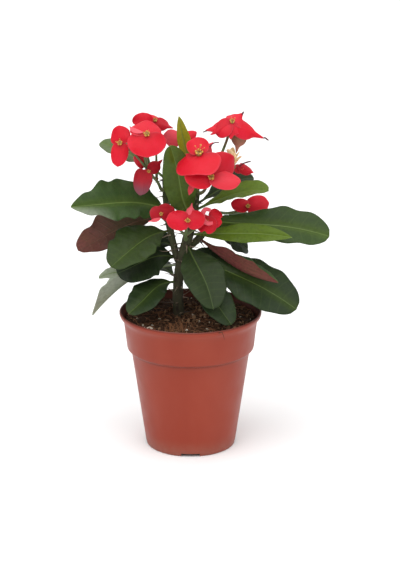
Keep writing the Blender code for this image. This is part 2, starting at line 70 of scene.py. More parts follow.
# Leaf: (width, widest, face, rise, fold, wave, dark, fresh, red)
#   width   greatest width in millimetres; widest is where along the leaf it lies, 0 to 1
#   face    direction that the upper side looks in
#   rise    how far the midrib bows above the line from base to tip
#   fold    degrees that each half turns up; wave is the height of the margin's waves
#   dark    how far the colour leans to deep green, or below 0 to pale grey-green (a painted highlight on leaf_left_folded)
#   fresh   how far it leans to yellow-green, and past 1 to golden
#   red     how far the underside leans to maroon, and past 1 to rose
LEAVES = {
    "leaf_left_long": (40, 0.46, (-0.1, -0.8, 0.7), 4, 19, 2.7, 0.1, 0.0, 0.0),
    "leaf_left_maroon": (34, 0.60, (0.2, 0.8, 0.5), 5, 10, 2.2, 0.6, 0.0, 1.0),
    "leaf_left_broad": (39, 0.58, (-0.2, -0.7, 0.7), 5, 13, 1.6, 0.85, 0.14, 0.0),
    "leaf_left_dark": (41, 0.58, (0.0, -0.6, 0.8), 4, 8, 1.1, 0.95, 0.0, 0.0),
    # Its pale grey-green, from a dark below 0, is a painted highlight.
    "leaf_left_folded": (33, 0.60, (-0.8, 0.2, 0.5), 11, 38, 1.2, -0.9, 0.0, 0.0),
    "leaf_middle_left": (23, 0.50, (0.0, -0.7, 0.7), 4, 8, 1.0, 0.95, 0.0, 0.0),
    "leaf_middle_right": (20, 0.50, (0.1, -0.85, 0.5), 1, 8, 0.9, 0.95, 0.0, 0.0),
    "leaf_left_low": (29, 0.60, (-0.2, -0.6, 0.8), 5, 8, 0.9, 0.8, 0.0, 0.0),
    "leaf_front": (36, 0.58, (0.1, -0.75, 0.65), 5, 14, 0.8, 1.0, 0.06, 0.0),
    "leaf_front_low": (29, 0.66, (0.2, -0.6, 0.8), 5, 8, 0.7, 0.9, 0.0, 0.0),
    "leaf_right_low": (42, 0.66, (0.15, -0.75, 0.65), 3, 8, 1.2, 0.75, 0.0, 0.0),
    "leaf_right_maroon": (27, 0.52, (0.0, 0.5, 0.85), -7, 48, 0.8, 0.3, 0.0, 1.3),
    "leaf_right_long": (34, 0.72, (0.1, -0.7, 0.7), 3, 10, 1.5, 0.5, 0.08, 0.0),
    # Painted light: this leaf's yellow-green stands in for light shining through the blade and glancing off
    # it.
    "leaf_right_bright": (17, 0.56, (0.1, -0.82, 0.55), 2, 8, 0.6, 0.1, 0.75, 0.0),
    "leaf_right_high": (25, 0.60, (-0.2, -0.3, 0.9), 4, 14, 0.9, 0.0, 0.80, 0.0),
    "leaf_upright": (27, 0.56, (0.0, -1.0, 0.3), -5, 8, 0.8, 0.5, 0.42, 0.0),
    "leaf_young": (12, 0.55, (0.3, -0.9, 0.2), 2, 8, 0.4, 0.0, 1.75, 0.0),
    "leaf_back_pale": (25, 0.66, (0.0, -0.3, 0.95), 3, 10, 0.9, -0.2, 0.25, 0.0),
    "leaf_back_dark": (22, 0.60, (0.0, -0.4, 0.9), 4, 10, 0.9, 0.9, 0.0, 0.0),
    "leaf_right_shade": (31, 0.60, (0.2, -0.5, 0.8), 5, 10, 0.9, 0.95, 0.0, 0.4),
    "leaf_back_left_high": (30, 0.60, (-0.2, 0.2, 0.95), 6, 10, 1.4, 0.5, 0.1, 0.0),
    "leaf_back_right_high": (31, 0.60, (0.2, 0.3, 0.95), 4, 10, 1.4, 0.4, 0.15, 0.0),
    "leaf_back_right_low": (30, 0.60, (0.3, 0.4, 0.8), 7, 8, 1.2, 0.7, 0.0, 0.0),
    "leaf_back_left_low": (30, 0.60, (-0.3, 0.3, 0.9), 7, 8, 1.2, 0.7, 0.0, 0.0),
    "leaf_back_high": (28, 0.60, (0.0, -0.1, 1.0), 6, 10, 1.4, 0.3, 0.3, 0.0),
    "leaf_back_mid": (31, 0.60, (0.0, 0.3, 0.95), 8, 8, 1.4, 0.5, 0.1, 0.0),
    "leaf_back_low": (30, 0.60, (0.1, 0.5, 0.85), 8, 8, 1.2, 0.6, 0.05, 0.0),
}

# How quickly a leaf narrows to its base and to its tip: 0.45 ends round, 1 ends drawn out.
LEAF_ENDS = {
    "leaf_left_long": (0.8, 0.75),
    "leaf_right_long": (0.55, 0.45),
    "leaf_left_dark": (0.6, 0.45),
    "leaf_middle_left": (0.6, 0.6),
    "leaf_middle_right": (0.6, 0.6),
    "leaf_left_folded": (0.95, 0.9),
    "leaf_right_bright": (0.9, 0.8),
    "leaf_right_maroon": (0.8, 0.8),
    "leaf_young": (0.95, 0.7),
    "leaf_upright": (0.55, 0.45),
}
USUAL_ENDS = (0.95, 0.45)

# All leaves: veins on a side, waves in a margin's width and in its height, then in millimetres
# the groove over the midrib, its width, and how far a leaf's foot reaches into the bark.
SIDE_VEINS, SCALLOPS, RIPPLES = 11.0, 4.6, 6.3
GROOVE_DEPTH, RIB_WIDTH, FOOT_IN_BARK = 0.35, 0.9, 2.2

# Painted sheen: leaves whose front half is painted pale grey-green towards the tip, for the reflection of the
# bright surroundings, and how far.
PAINTED_SHEENS = {"leaf_left_long": 0.55, "leaf_right_long": 0.10, "leaf_left_maroon": 0.05}

# Half of a twisted leaf that folds outwards beside its blade: (foot, tip, values as above, ends).
FLAPS = {
    "leaf_left_folded": (
        (-50.0, 16.0, 149.0), (-77.5, 12.0, 142.5),
        # The flap's pale grey-green, from a dark of -1, is a painted highlight too.
        (11, 0.50, (-0.3, -0.7, 0.7), 1, 10, 0.5, -1.0, 0.0, 0.0), (0.6, 0.6),
    ),
}

# Bract shapes: (lobe, droop, curl, point)
#   lobe    how far the foot reaches back on both sides of the cup
#   droop   how far the sides hang down; a negative one makes a dish
#   curl    how far the far edge bends back; point is a tip, or a notch if negative
BRACT_SHAPES = {
    "round": (0.22, 0.16, 0.10, 0.03),
    "heart": (0.42, 0.16, 0.16, 0.05),
    "dish": (0.15, -0.22, 0.02, 0.02),
    "folded": (0.15, 0.55, 0.10, 0.10),
    "pointed": (0.10, 0.30, 0.12, 0.30),
    "notched": (0.15, 0.30, 0.10, -0.16),
    "roof": (0.30, 0.42, 0.16, 0.14),
}

# Flower: cup middle, cup size, the way that its filaments point, then its bracts. Each bract is
# (foot, far edge, width, face, shape, tone); a tone of -1 is deep red, 0 red, 1 pink, and -2
# fades to dull maroon at the far edge. A foot of None is the cup itself. On flower_low_left's
# bracts and the upper bract of flower_middle_lower, the low tone is painted shade.
FLOWERS = {
    "flower_left_outer": ((-56.5, -20.0, 267.5), 1.15, (-0.3, -0.8, 0.5), [
        (None, (-58.5, -16.0, 281.5), 17, (-0.3, -0.9, 0.3), "round", -0.1),
        (None, (-59.5, -27.0, 250.0), 15, (-0.2, -0.9, 0.4), "round", 0.05),
    ]),
    "flower_left_front": ((-35.0, -25.0, 276.0), 1.3, (0.0, -0.8, 0.6), [
        (None, (-34.5, -37.0, 261.5), 31, (0.05, -0.65, 0.75), "heart", 0.0),
        (None, (-37.0, -13.0, 285.5), 25, (0.1, -0.6, 0.8), "round", 0.2),
        ((-38.0, -23.5, 277.5), (-49.0, -17.0, 282.0), 7, (0.1, 0.1, 1.0), "folded", 0.9),
    ]),
    "flower_left_back": ((-38.5, -3.0, 278.5), 0.9, (-0.2, -0.8, 0.6), [
        (None, (-39.5, 0.0, 288.5), 17, (0.0, -0.8, 0.6), "dish", 0.1),
        (None, (-30.0, -4.0, 273.0), 12, (0.1, -0.7, 0.7), "round", -0.5),
    ]),
    "flower_left_top": ((-29.0, 1.0, 281.0), 0.9, (0.2, -0.6, 0.8), [
        (None, (-14.0, -5.0, 277.0), 11, (0.1, -0.85, 0.5), "pointed", -0.75),
        (None, (-37.0, 7.0, 284.0), 12, (0.0, -0.6, 0.8), "round", 0.0),
    ]),
    "flower_left_hanging": ((-34.0, -14.5, 242.5), 0.7, (0.1, -0.9, 0.3), [
        ((-38.0, -15.0, 244.0), (-41.0, -24.0, 225.0), 15, (-0.1, -0.9, 0.4), "round", -2.0),
        ((-34.5, -15.0, 243.5), (-31.5, -19.0, 233.0), 6, (0.3, -0.9, 0.2), "folded", -1.7),
        ((-33.0, -13.0, 242.0), (-22.5, -11.0, 251.5), 11, (0.1, -0.95, 0.2), "pointed", -0.9),
        ((-38.0, -9.0, 244.5), (-45.5, -13.0, 256.0), 9, (-0.2, -0.9, 0.3), "folded", -0.4),
    ]),
    "flower_middle_back": ((-9.0, 8.0, 262.5), 1.0, (0.0, -0.8, 0.6), [
        (None, (-21.0, 5.0, 269.5), 15, (0.0, -0.8, 0.6), "round", 0.55),
        (None, (5.0, 8.0, 270.5), 10, (0.0, -0.8, 0.6), "round", 0.0),
    ]),
    "flower_middle_upper": ((7.2, -27.0, 259.8), 1.75, (0.0, -0.35, 0.93), [
        (None, (1.0, -47.5, 250.0), 38, (-0.32, -0.5, 0.85), "heart", 0.05),
        (None, (5.0, -16.0, 271.5), 18, (0.0, -0.8, 0.6), "dish", 0.05),
        ((9.0, -24.0, 261.5), (19.0, -17.0, 268.5), 13, (0.2, -0.7, 0.7), "pointed", 0.4),
    ]),
    "flower_middle_lower": ((16.8, -36.0, 243.5), 1.35, (0.1, -0.9, 0.4), [
        (None, (-4.0, -41.0, 246.0), 20, (0.0, -0.85, 0.5), "round", 0.0),
        (None, (41.0, -39.0, 241.5), 18, (0.1, -0.7, 0.75), "round", 0.3),
        # Painted shade: this bract's low tone stands for the shade that it lies in.
        (None, (36.5, -24.0, 257.5), 25, (0.1, -0.97, 0.0), "round", -0.5),
    ]),
    "flower_right_top": ((34.2, -4.0, 281.0), 1.1, (0.1, -0.5, 0.9), [
        (None, (12.0, -5.0, 275.8), 20, (-0.1, -0.6, 0.8), "pointed", 0.1),
        (None, (16.5, -10.0, 272.5), 14, (0.0, -0.9, 0.4), "pointed", -0.35),
        (None, (33.0, -12.0, 269.5), 17, (0.0, -0.85, 0.5), "pointed", 0.15),
        (None, (61.5, -4.0, 269.0), 17, (0.35, -0.75, 0.55), "pointed", 0.05),
        (None, (43.5, 4.0, 288.0), 17, (0.05, -0.7, 0.7), "pointed", 0.2),
    ]),
    "flower_right_small": ((43.0, 7.5, 238.0), 0.7, (0.0, -0.8, 0.6), [
        ((40.5, 6.0, 242.0), (52.5, 5.0, 236.5), 9, (0.2, -0.8, 0.5), "folded", -0.5),
        (None, (36.0, 6.0, 241.0), 8, (0.0, -0.8, 0.6), "round", -0.8),
    ]),
    "flower_right_behind": ((48.0, 12.0, 205.0), 0.9, (0.0, -0.8, 0.6), [
        (None, (34.0, 11.0, 208.5), 12, (0.0, -0.9, 0.4), "round", 0.0),
        (None, (65.0, 9.0, 210.0), 18, (0.1, -0.8, 0.6), "round", 0.15),
    ]),
    "flower_low_front": ((-2.0, -28.0, 204.5), 1.0, (0.0, -0.9, 0.4), [
        (None, (-19.5, -30.0, 206.0), 17, (-0.1, -0.9, 0.4), "round", -0.1),
        (None, (12.0, -30.0, 207.0), 16, (0.1, -0.9, 0.4), "round", -0.2),
    ]),
    "flower_low_right": ((14.0, -18.0, 201.0), 0.9, (0.1, -0.9, 0.3), [
        ((15.0, -19.0, 206.0), (11.5, -25.0, 192.5), 17, (0.0, -0.9, 0.4), "notched", -0.35),
        ((15.0, -18.5, 204.0), (27.0, -18.0, 203.0), 16, (0.2, -0.9, 0.3), "notched", -0.2),
    ]),
    "flower_low_left": ((-24.0, -17.5, 207.0), 0.8, (0.0, -0.9, 0.4), [
        # Painted shade: the low tones of both bracts stand for the shade that they lie in.
        (None, (-33.0, -20.0, 209.5), 12, (-0.1, -0.9, 0.4), "round", -0.9),
        (None, (-13.0, -13.0, 210.5), 15, (0.1, -0.9, 0.3), "round", -1.1),
    ]),
}

# Parts of a flower's cup as rings (place along it, radius), in shares of the cup's size. The
# threads are the filaments between the glands, and each has a head.
URN_RINGS = [(-1.2, 0.35), (-0.9, 0.9), (-0.2, 1.35), (0.6, 1.5), (1.2, 1.35), (1.5, 1.0), (1.3, 0.5)]
GLANDS, GLAND_RINGS = 5, [(-0.765, 0.12), (-0.425, 0.42), (0.0, 0.5), (0.425, 0.42), (0.765, 0.12)]
THREADS, THREAD_RADII = 9, (0.14, 0.12, 0.11, 0.12, 0.10)
HEAD_RINGS = [(-0.1, 0.08), (0.12, 0.27), (0.3, 0.24), (0.42, 0.06)]

# Shade of each of those parts, as cup_finish reads it.
CUP, GLAND, THREAD_HEAD, RED_THREAD = 0.0, 0.5, 0.55, 1.0

# Cream flower: foot and tip of the whole, then its lobes as (tip, width, tone).
CREAM_FLOWER = ((35.5, -3.0, 246.0), (32.0, -4.0, 259.0))
CREAM_LOBES = [
    ((31.0, -5.0, 259.0), 9.5, 0.1), ((35.0, -1.0, 259.5), 8.0, 0.0), ((37.5, -6.0, 256.0), 5.5, 0.25),
    ((40.5, -4.0, 256.5), 5.5, 0.2), ((42.5, -4.0, 252.5), 5.0, 0.4), ((33.0, -8.0, 252.0), 6.0, 0.6),
    ((39.0, -8.0, 249.5), 6.0, 0.7),
]

# Small bracts with no solid of their own, told as a flower's bracts are.
SMALL_BRACTS = {
    "bract_low_front_upright": ((-0.5, -26.5, 206), (1.5, -24, 218.5), 8, (0.0, -0.95, 0.3), "pointed", 1.0),
    "bract_low_left_small": ((-25, -19, 204), (-34.5, -24, 203), 4, (0.1, -0.7, 0.7), "pointed", 0.9),
    "bract_under_middle": ((2.5, -24, 236), (-1, -28, 226), 5, (0.0, -0.9, 0.3), "folded", 0.5),
}

# Ribbon-like pink bract curled round its cup: way points, width of the ribbon, and tone.
CURLED_BRACT = ([(17, -22, 211.5), (12.5, -23.5, 212.5), (10, -24.5, 208.5), (11, -25.5, 204),
                 (14.5, -26.5, 201.5), (18.5, -26.5, 202)], 4.2, 0.9)

# Thin dark hooks: the flower that each grows from, then way points as (x, y, z, radius).
HOOKS = [
    ("flower_middle_upper", [(14.5, -21, 263.5, 0.5), (17, -20, 266, 0.5), (19.8, -19.5, 267.9, 0.5),
                             (23.5, -20, 268.3, 0.4)]),
    ("flower_right_small", [(41.3, 4.5, 242.4, 0.5), (43.7, 3.6, 244.4, 0.55), (47, 3.2, 245.7, 0.65),
                            (50, 3, 246.5, 0.45)]),
    ("flower_right_top", [(42.9, 3.4, 286.4, 0.7), (43.4, 3.6, 287.6, 0.75), (43.8, 3.8, 288.4, 0.45)]),
    ("flower_right_top", [(61.4, -4.2, 268.2, 0.65), (63, -4.6, 267, 0.65), (64.2, -5, 266.2, 0.45)]),
    ("flower_right_top", [(13, -5.6, 274.4, 0.55), (11.6, -6, 273.8, 0.5), (10.5, -6.5, 273.5, 0.4)]),
]

# Drooping leafy scale under the right flower: foot, tip, width and face.
LEAFY_SCALE = ((40.5, -3.0, 274.0), (37.5, -6.0, 255.5), 13, (-0.1, -0.95, 0.3))

# Stalk: start, way points, flower; then forks as (place along the trunk, way points, flower)
STALKS = {
    "flower_stalk_left": (
        (-21, 4, 222), [(-24, 1, 223), (-27, -5, 231), (-33, -9, 240), (-37, -11, 252)], "flower_left_front",
        [
            (0.50, [(-46, -13, 257)], "flower_left_outer"),
            (0.45, [(-37, 2, 262)], "flower_left_back"),
            (0.35, [(-28, 4, 258), (-27, 7, 270)], "flower_left_top"),
            (0.35, [(-34, -10, 240)], "flower_left_hanging"),
        ],
    ),
    "flower_stalk_middle": (
        (5, 0, 221), [(6, -4, 222), (6, -7, 226), (7, -10, 236), (8, -16, 248)], "flower_middle_upper",
        [
            (0.45, [(13, -18, 240)], "flower_middle_lower"),
            (0.25, [(3, 9, 243), (-7, 12, 253)], "flower_middle_back"),
        ],
    ),
    "flower_stalk_right": (
        (6, 2, 219), [(10, 3, 220), (13, 3, 224), (18, 4, 237), (27, 3, 256)], "flower_right_top",
        [
            (0.35, [(34, 10, 236)], "flower_right_small"),
            (0.50, [(31, 1, 238)], "cream_flower"),
        ],
    ),
    "flower_stalk_low": (
        (-3, -1, 182), [(-4, -7, 182), (-4, -12, 187), (-3, -20, 196)], "flower_low_front",
        [
            (0.40, [(6, -12, 194)], "flower_low_right"),
            (0.40, [(-14, -10, 196)], "flower_low_left"),
        ],
    ),
    "flower_stalk_behind": (
        (20, 5, 201), [(24, 8, 201), (33, 14, 199)], "flower_right_behind", [],
    ),
}

TRUNK_RADIUS, FORK_RADIUS = 1.3, 0.85

# Stem paths: (x, y, z, radius) down the middle of each, the first rooted in the soil.
STEMS = {
    "main": [
        (-9.0, 0.0, 96.0, 5.4), (-10.0, 0.0, 114.0, 4.8), (-10.5, 0.5, 138.0, 4.3), (-8.0, 1.0, 160.0, 4.2),
        (-1.5, 1.0, 184.0, 4.1), (3.0, 1.0, 206.0, 3.7), (5.0, 2.0, 222.0, 2.6), (5.5, 2.0, 228.0, 1.2),
    ],
    "left": [
        (-8.6, 1.0, 155.0, 2.4), (-12.5, 2.0, 168.0, 2.9), (-17.0, 4.0, 188.0, 2.9), (-20.0, 6.0, 210.0, 2.8),
        (-21.0, 8.0, 230.0, 2.3), (-21.0, 9.0, 238.0, 1.3),
    ],
    "right": [
        (-5.5, 1.5, 170.0, 2.4), (4.0, 3.0, 177.0, 3.0), (13.0, 4.0, 187.0, 2.9), (19.0, 4.5, 198.0, 2.4),
        (21.0, 5.0, 205.0, 1.4),
    ],
}

# Thorns: first and last place among the STEM_SAMPLES rings of a path, and the gap between pairs.
THORN_SPANS = {"main": (25, 186, 4.6), "left": (45, 190, 4.6), "right": (45, 190, 4.4)}
STEM_SAMPLES = 200

# A thorn's rings: share of its length, and radius.
THORN_RINGS = [(0.0, 1.25), (0.12, 0.62), (0.4, 0.4), (0.72, 0.24), (1.0, 0.05)]

# Bark: points round a stem, rings from one knuckle to the next, and the height of a knuckle.
BARK_SIDES, KNUCKLE_GAP, KNUCKLE_HEIGHT = 28, 7.0, 0.07

# Pot outline, foot to rim outside and back down inside, as (radius, height).
POT_OUTLINE = [
    (36.6, 0.0), (37.4, 0.25), (38.0, 1.0), (43.85, 41.0), (49.7, 81.0), (50.0, 83.0), (50.7, 84.7),
    (52.6, 85.6), (53.4, 86.4), (53.75, 87.6), (54.9, 98.0), (56.2, 108.6), (56.9, 110.8), (58.1, 112.6),
    (59.3, 114.2), (59.85, 115.8), (59.9, 117.0), (59.6, 117.7), (59.1, 118.0), (58.6, 117.9), (58.2, 117.3),
    (57.9, 115.8), (56.9, 113.0), (55.4, 110.0), (53.6, 98.0), (52.3, 87.5), (49.6, 85.6), (48.6, 83.6),
    (48.4, 81.0), (42.6, 41.0), (36.9, 3.0), (36.2, 1.9), (35.0, 1.6),
]
NOTCH_RADIUS = POT_OUTLINE[2][0]
OUTLINE_STEP, POT_SEGMENTS = 4.0, 180
SHARP_EDGE = math.radians(38.0)

# Soil: its edge under the rim, then its side down the pot's wall as (radius, height), and its flat
# bottom.
SOIL_RADIUS = 54.2
SOIL_SIDE = [(SOIL_RADIUS, 106.0), (51.4, 88.5), (48.0, 85.0), (47.6, 80.0)]
SOIL_BOTTOM_RADIUS = 36.0
SOIL_RINGS, SOIL_SEGMENTS = 84, 240

# Its mound: how far the middle lies under the solid's top, how far the edge lies below that, and
# the edge's radius.
MOUND_DROP, MOUND_HEIGHT, MOUND_RADIUS = 0.6, 2.4, 54.0

# Clods and crumbs of its surface: height, size and seed of each noise that makes them.
CLODS = [(1.1, 9.0, 3), (0.7, 3.6, 5), (0.35, 1.5, 8)]

# Coir fibres: reach of their first ends and of the rest of them, and how long they are.
COIR_REACH, COIR_LIMIT, COIR_LENGTHS = 50.0, 52.5, (5.0, 17.0)

# Straws that stand up out of the peat: how many, the middle of their tuft and its radius.
STRAWS, STRAW_MIDDLE, STRAW_REACH = 26, (-12.0, -38.0), 9.0

# Twig that lies over the rim, as (x, y, z, radius).
TWIG = [
    (22.0, -53.0, 114.6, 0.34), (24.5, -56.5, 117.6, 0.34), (26.0, -58.9, 118.6, 0.32),
    (27.0, -60.2, 116.6, 0.28), (28.0, -60.3, 112.6, 0.16),
]

# Soft lights: name, the side they come from, share of the key light's strength, width in degrees.
LIGHTS = [
    ("key", (-0.4, -0.7, 1.4), 1.0, 75.0),
    ("fill", (0.9, -0.6, 0.8), 0.3, 70.0),
    ("back", (0.2, 0.9, 0.9), 0.22, 60.0),
]
CAMERA_TARGET = (0.008, 0.0, 0.1401)

# Colours that the finishes mix in besides those of the settings.
# Painted shade for the inside of the pot's collar.
POT_INSIDE_PAINTED_SHADE = (0.060, 0.016, 0.009, 1.0)
# Painted shade for the groove under the pot's collar; the same colour darkens the rim's top edge.
POT_GROOVE_SHADE_RIM_DARK = (0.085, 0.014, 0.007, 1.0)
DUST = (0.30, 0.20, 0.15, 1.0)
PEAT_LIGHT = (0.055, 0.023, 0.011, 1.0)
PEAT_FLECK = (0.24, 0.14, 0.07, 1.0)
CRUMB = (0.105, 0.050, 0.025, 1.0)
CHIP_DARK, CHIP_LIGHT = (0.10, 0.05, 0.025, 1.0), (0.26, 0.15, 0.08, 1.0)
PERLITE_SHADE = (0.55, 0.47, 0.36, 1.0)
COIR_DARK = (0.075, 0.034, 0.016, 1.0)
BARK_CRACK = (0.030, 0.020, 0.014, 1.0)
BARK_SCAR = (0.27, 0.22, 0.15, 1.0)
THORN_TIP = (0.33, 0.25, 0.18, 1.0)
LEAF_STREAK = (0.05, 0.03, 0.02, 1.0)
LEAF_CLOUD = (0.09, 0.15, 0.045, 1.0)
LEAF_PORE = (0.008, 0.014, 0.006, 1.0)
RED_RIB = (0.14, 0.045, 0.04, 1.0)
BRACT_LIGHT = (0.70, 0.009, 0.042, 1.0)
BRACT_FLECK = (0.50, 0.004, 0.02, 1.0)
BRACT_FADED = (0.16, 0.055, 0.075, 1.0)
SCALE_FOOT, SCALE_TIP = (0.26, 0.15, 0.065, 1.0), (0.34, 0.13, 0.085, 1.0)
SCALE_VEIN = (0.14, 0.055, 0.035, 1.0)
STALK_BLUSH = (0.17, 0.05, 0.03, 1.0)
STALK_FLECK = (0.30, 0.33, 0.14, 1.0)
CUP_GREEN = (0.14, 0.075, 0.014, 1.0)
FILAMENT = (0.50, 0.03, 0.02, 1.0)
POLLEN = (0.9, 0.7, 0.2, 1.0)
CREAM_FOOT = (0.55, 0.50, 0.16, 1.0)
CREAM_BLUSH = (0.80, 0.25, 0.16, 1.0)
CREAM_SHADE = (0.75, 0.50, 0.25, 1.0)
HOOK_DARK, HOOK_LIGHT = (0.10, 0.02, 0.03, 1.0), (0.16, 0.05, 0.06, 1.0)


# ---- Settings ----


def colour_property(name, default, description):
    return FloatVectorProperty(
        name=name, description=description, subtype="COLOR", size=4, min=0.0, max=1.0, default=default
    )


def number_property(name, default, description, unit="NONE"):
    return FloatProperty(name=name, description=description, default=default, unit=unit)


def length_property(name, default, description):
    return number_property(name, default, description, "LENGTH")


def count_property(name, default, description):
    return IntProperty(name=name, description=description, default=default)


class PotSettings(bpy.types.PropertyGroup):
    plastic: colour_property("Plastic", (0.275, 0.030, 0.009, 1.0), "Colour of the moulded pot")
    worn: colour_property("Worn plastic", (0.32, 0.044, 0.018, 1.0), "Paler colour of rubbed plastic")
    notch_width: length_property("Notch width", 0.016, "Width of each drain notch")
    notch_height: length_property("Notch height", 0.0028, "Height of each drain notch")
    notches: count_property("Notches", 4, "Drain notches around the foot")


class SoilSettings(bpy.types.PropertyGroup):
    peat: colour_property("Peat", (0.022, 0.010, 0.005, 1.0), "Colour of moist peat")
    coir: colour_property("Coir", (0.24, 0.105, 0.046, 1.0), "Colour of the coconut fibres")
    perlite: colour_property("Perlite", (0.72, 0.66, 0.55, 1.0), "Colour of the perlite grains")
    crumbs: count_property("Crumbs", 900, "Loose peat crumbs on the surface")
    fibres: count_property("Fibres", 190, "Coconut fibres on the surface")
    grains: count_property("Grains", 30, "Perlite grains on the surface")


class StemSettings(bpy.types.PropertyGroup):
    bark: colour_property("Bark", (0.055, 0.042, 0.027, 1.0), "Colour of old bark")
    green_bark: colour_property("Green bark", (0.050, 0.068, 0.024, 1.0), "Colour of young bark")
    thorn: colour_property("Thorn", (0.050, 0.034, 0.026, 1.0), "Colour of the thorns")
    thorn_length: length_property("Thorn length", 0.0095, "Mean length of a thorn")


class LeafSettings(bpy.types.PropertyGroup):
    green: colour_property("Green", (0.033, 0.068, 0.014, 1.0), "Colour of a grown leaf's upper side")
    deep: colour_property("Deep green", (0.009, 0.018, 0.0055, 1.0), "Colour of the darkest leaves")
    fresh: colour_property("Fresh green", (0.105, 0.165, 0.010, 1.0), "Colour of young leaves")
    golden: colour_property("Golden", (0.42, 0.33, 0.015, 1.0), "Colour of the newest leaf")
    rib: colour_property("Midrib", (0.15, 0.22, 0.055, 1.0), "Colour of the midrib")
    pale: colour_property("Underside", (0.42, 0.46, 0.36, 1.0), "Colour of a leaf's underside")
    maroon: colour_property("Maroon", (0.062, 0.019, 0.010, 1.0), "Colour of a red-backed leaf's underside")
    rose: colour_property("Rose", (0.17, 0.040, 0.036, 1.0), "Colour of a red-backed leaf near its tip")
    thickness: length_property("Thickness", 0.0006, "Thickness of the leaf blade")


class FlowerSettings(bpy.types.PropertyGroup):
    red: colour_property("Red", (0.62, 0.003, 0.017, 1.0), "Colour of a bract")
    shaded: colour_property("Deep red", (0.33, 0.003, 0.012, 1.0), "Colour at a bract's foot and margin")
    pink: colour_property("Pink", (0.80, 0.115, 0.150, 1.0), "Colour of the small young bracts")
    cream: colour_property("Cream", (0.86, 0.66, 0.36, 1.0), "Colour of the half-open flower")
    stalk: colour_property("Stalk", (0.12, 0.16, 0.06, 1.0), "Colour of a flower stalk")
    nectar: colour_property("Nectar gland", (0.55, 0.27, 0.02, 1.0), "Colour of the glands in a cup")


class StageSettings(bpy.types.PropertyGroup):
    azimuth: number_property("Azimuth", 0.0, "Turn of the camera around the pot in degrees")
    elevation: number_property("Elevation", 17.9, "Height of the camera in degrees")
    distance: length_property("Distance", 1.8, "From the camera to its target")
    lens: number_property("Lens", 135.4, "Focal length in millimetres")
    surroundings: number_property("Surroundings", 0.46, "Brightness of the white surroundings")
    key: number_property("Key light", 2.1, "Strength of the soft key light")
    floor: colour_property("Floor", (0.95, 0.95, 0.95, 1.0), "Colour of the floor")


# ---- Small mathematics ----


def unit(vector):
    return np.asarray(vector, float) / np.linalg.norm(vector)


def smooth_step(low, high, value):
    """0 below low, 1 above high, and the cubic 3t^2 - 2t^3 between."""
    t = np.clip((value - low) / (high - low), 0.0, 1.0)
    return t * t * (3.0 - 2.0 * t)


def smooth_path(controls, samples):
    """Catmull-Rom curve through the control rows, read at evenly spaced parameters."""
    rows = np.array(controls, float)
    padded = np.vstack([2.0 * rows[0] - rows[1], rows, 2.0 * rows[-1] - rows[-2]])
    places = np.linspace(0.0, len(rows) - 1.0, samples)
    span = np.minimum(places.astype(int), len(rows) - 2)
    t = (places - span)[:, None]
    before, start, end, after = (padded[span + offset] for offset in range(4))
    return 0.5 * (
        2.0 * start
        + (end - before) * t
        + (2.0 * before - 5.0 * start + 4.0 * end - after) * t**2
        + (3.0 * start - before - 3.0 * end + after) * t**3
    )


def lattice_noise(points, cell, seed):
    """Value noise from -1 to 1: random numbers at the corners of cubes of this size, blended
    across each cube with the cubic 3t^2 - 2t^3 along all three axes."""
    scaled = np.asarray(points, float) / cell
    corner = np.floor(scaled).astype(np.int64)
    t = smooth_step(0.0, 1.0, scaled - corner)
    total = np.zeros(scaled.shape[:-1])
    for offset in np.ndindex(2, 2, 2):
        x, y, z = np.moveaxis(corner + np.array(offset), -1, 0)
        mixed = x * 73856093 ^ y * 19349663 ^ z * 83492791 ^ seed * 2654435
        mixed = (mixed ^ (mixed >> 13)) * 1274126177 & 0x7FFFFFFF
        value = (mixed % 20011) / 10005.0 - 1.0
        total += value * np.prod(np.where(offset, t, 1.0 - t), axis=-1)
    return total


# ---- Meshes ----


def grid_quads(rows, columns, first=0, closed=False, flip=False):
    """Quads between neighbouring rows and columns of a grid whose points are numbered row by row."""
    spans = columns if closed else columns - 1
    row, column = np.meshgrid(np.arange(rows - 1), np.arange(spans), indexing="ij")
    after = (column + 1) % columns
    a, b = row * columns + column, row * columns + after
    quads = np.stack([a, b, b + columns, a + columns], axis=-1).reshape(-1, 4) + first
    return quads[:, ::-1] if flip else quads


def rim_quads(rows, columns, under):
    """Quads that close the edge between a grid and its twin, whose points start at under."""
    border = np.concatenate([
        np.arange(columns),
        np.arange(1, rows) * columns + columns - 1,
        (rows - 1) * columns + np.arange(columns - 2, -1, -1),
        np.arange(rows - 2, 0, -1) * columns,
    ])
    after = np.roll(border, -1)
    return np.stack([border, under + border, under + after, after], axis=-1)


def sheet_quads(rows, columns):
    """Quads of a thin closed sheet: its upper grid, the lower twin, and the edge between them."""
    under = rows * columns
    return [grid_quads(rows, columns), grid_quads(rows, columns, under, flip=True),
            rim_quads(rows, columns, under)]


def both_skins(*columns):
    """Rows of three numbers for a sheet's upper points, and the same again for its lower ones."""
    rows = np.stack(np.broadcast_arrays(*columns), axis=-1).reshape(-1, 3)
    return np.vstack([rows, rows])


def two_skins(upper, lower):
    return np.vstack([upper.reshape(-1, 3), lower.reshape(-1, 3)])


def closed_rings(rings, start, end):
    """Points and faces of a closed skin over rings of points, with a pole at each end."""
    count, sides = rings.shape[0] * rings.shape[1], rings.shape[1]
    step = np.arange(sides)
    after = (step + 1) % sides
    last = count - sides
    caps = np.vstack([
        np.stack([np.full(sides, count), after, step], axis=-1),
        np.stack([np.full(sides, count + 1), last + step, last + after], axis=-1),
    ])
    return np.vstack([rings.reshape(-1, 3), start, end]), [grid_quads(len(rings), sides, closed=True), caps]


def turned_rings(outline, segments):
    """Rings of points: each (radius, height) row of the outline turned about Z."""
    rows = np.array(outline, float)
    angles = np.arange(segments) * 2.0 * math.pi / segments
    ring = np.stack([np.cos(angles), np.sin(angles)], axis=-1)
    heights = np.broadcast_to(rows[:, None, 1:], (len(rows), segments, 1))
    return np.concatenate([rows[:, None, :1] * ring[None, :, :], heights], axis=-1)


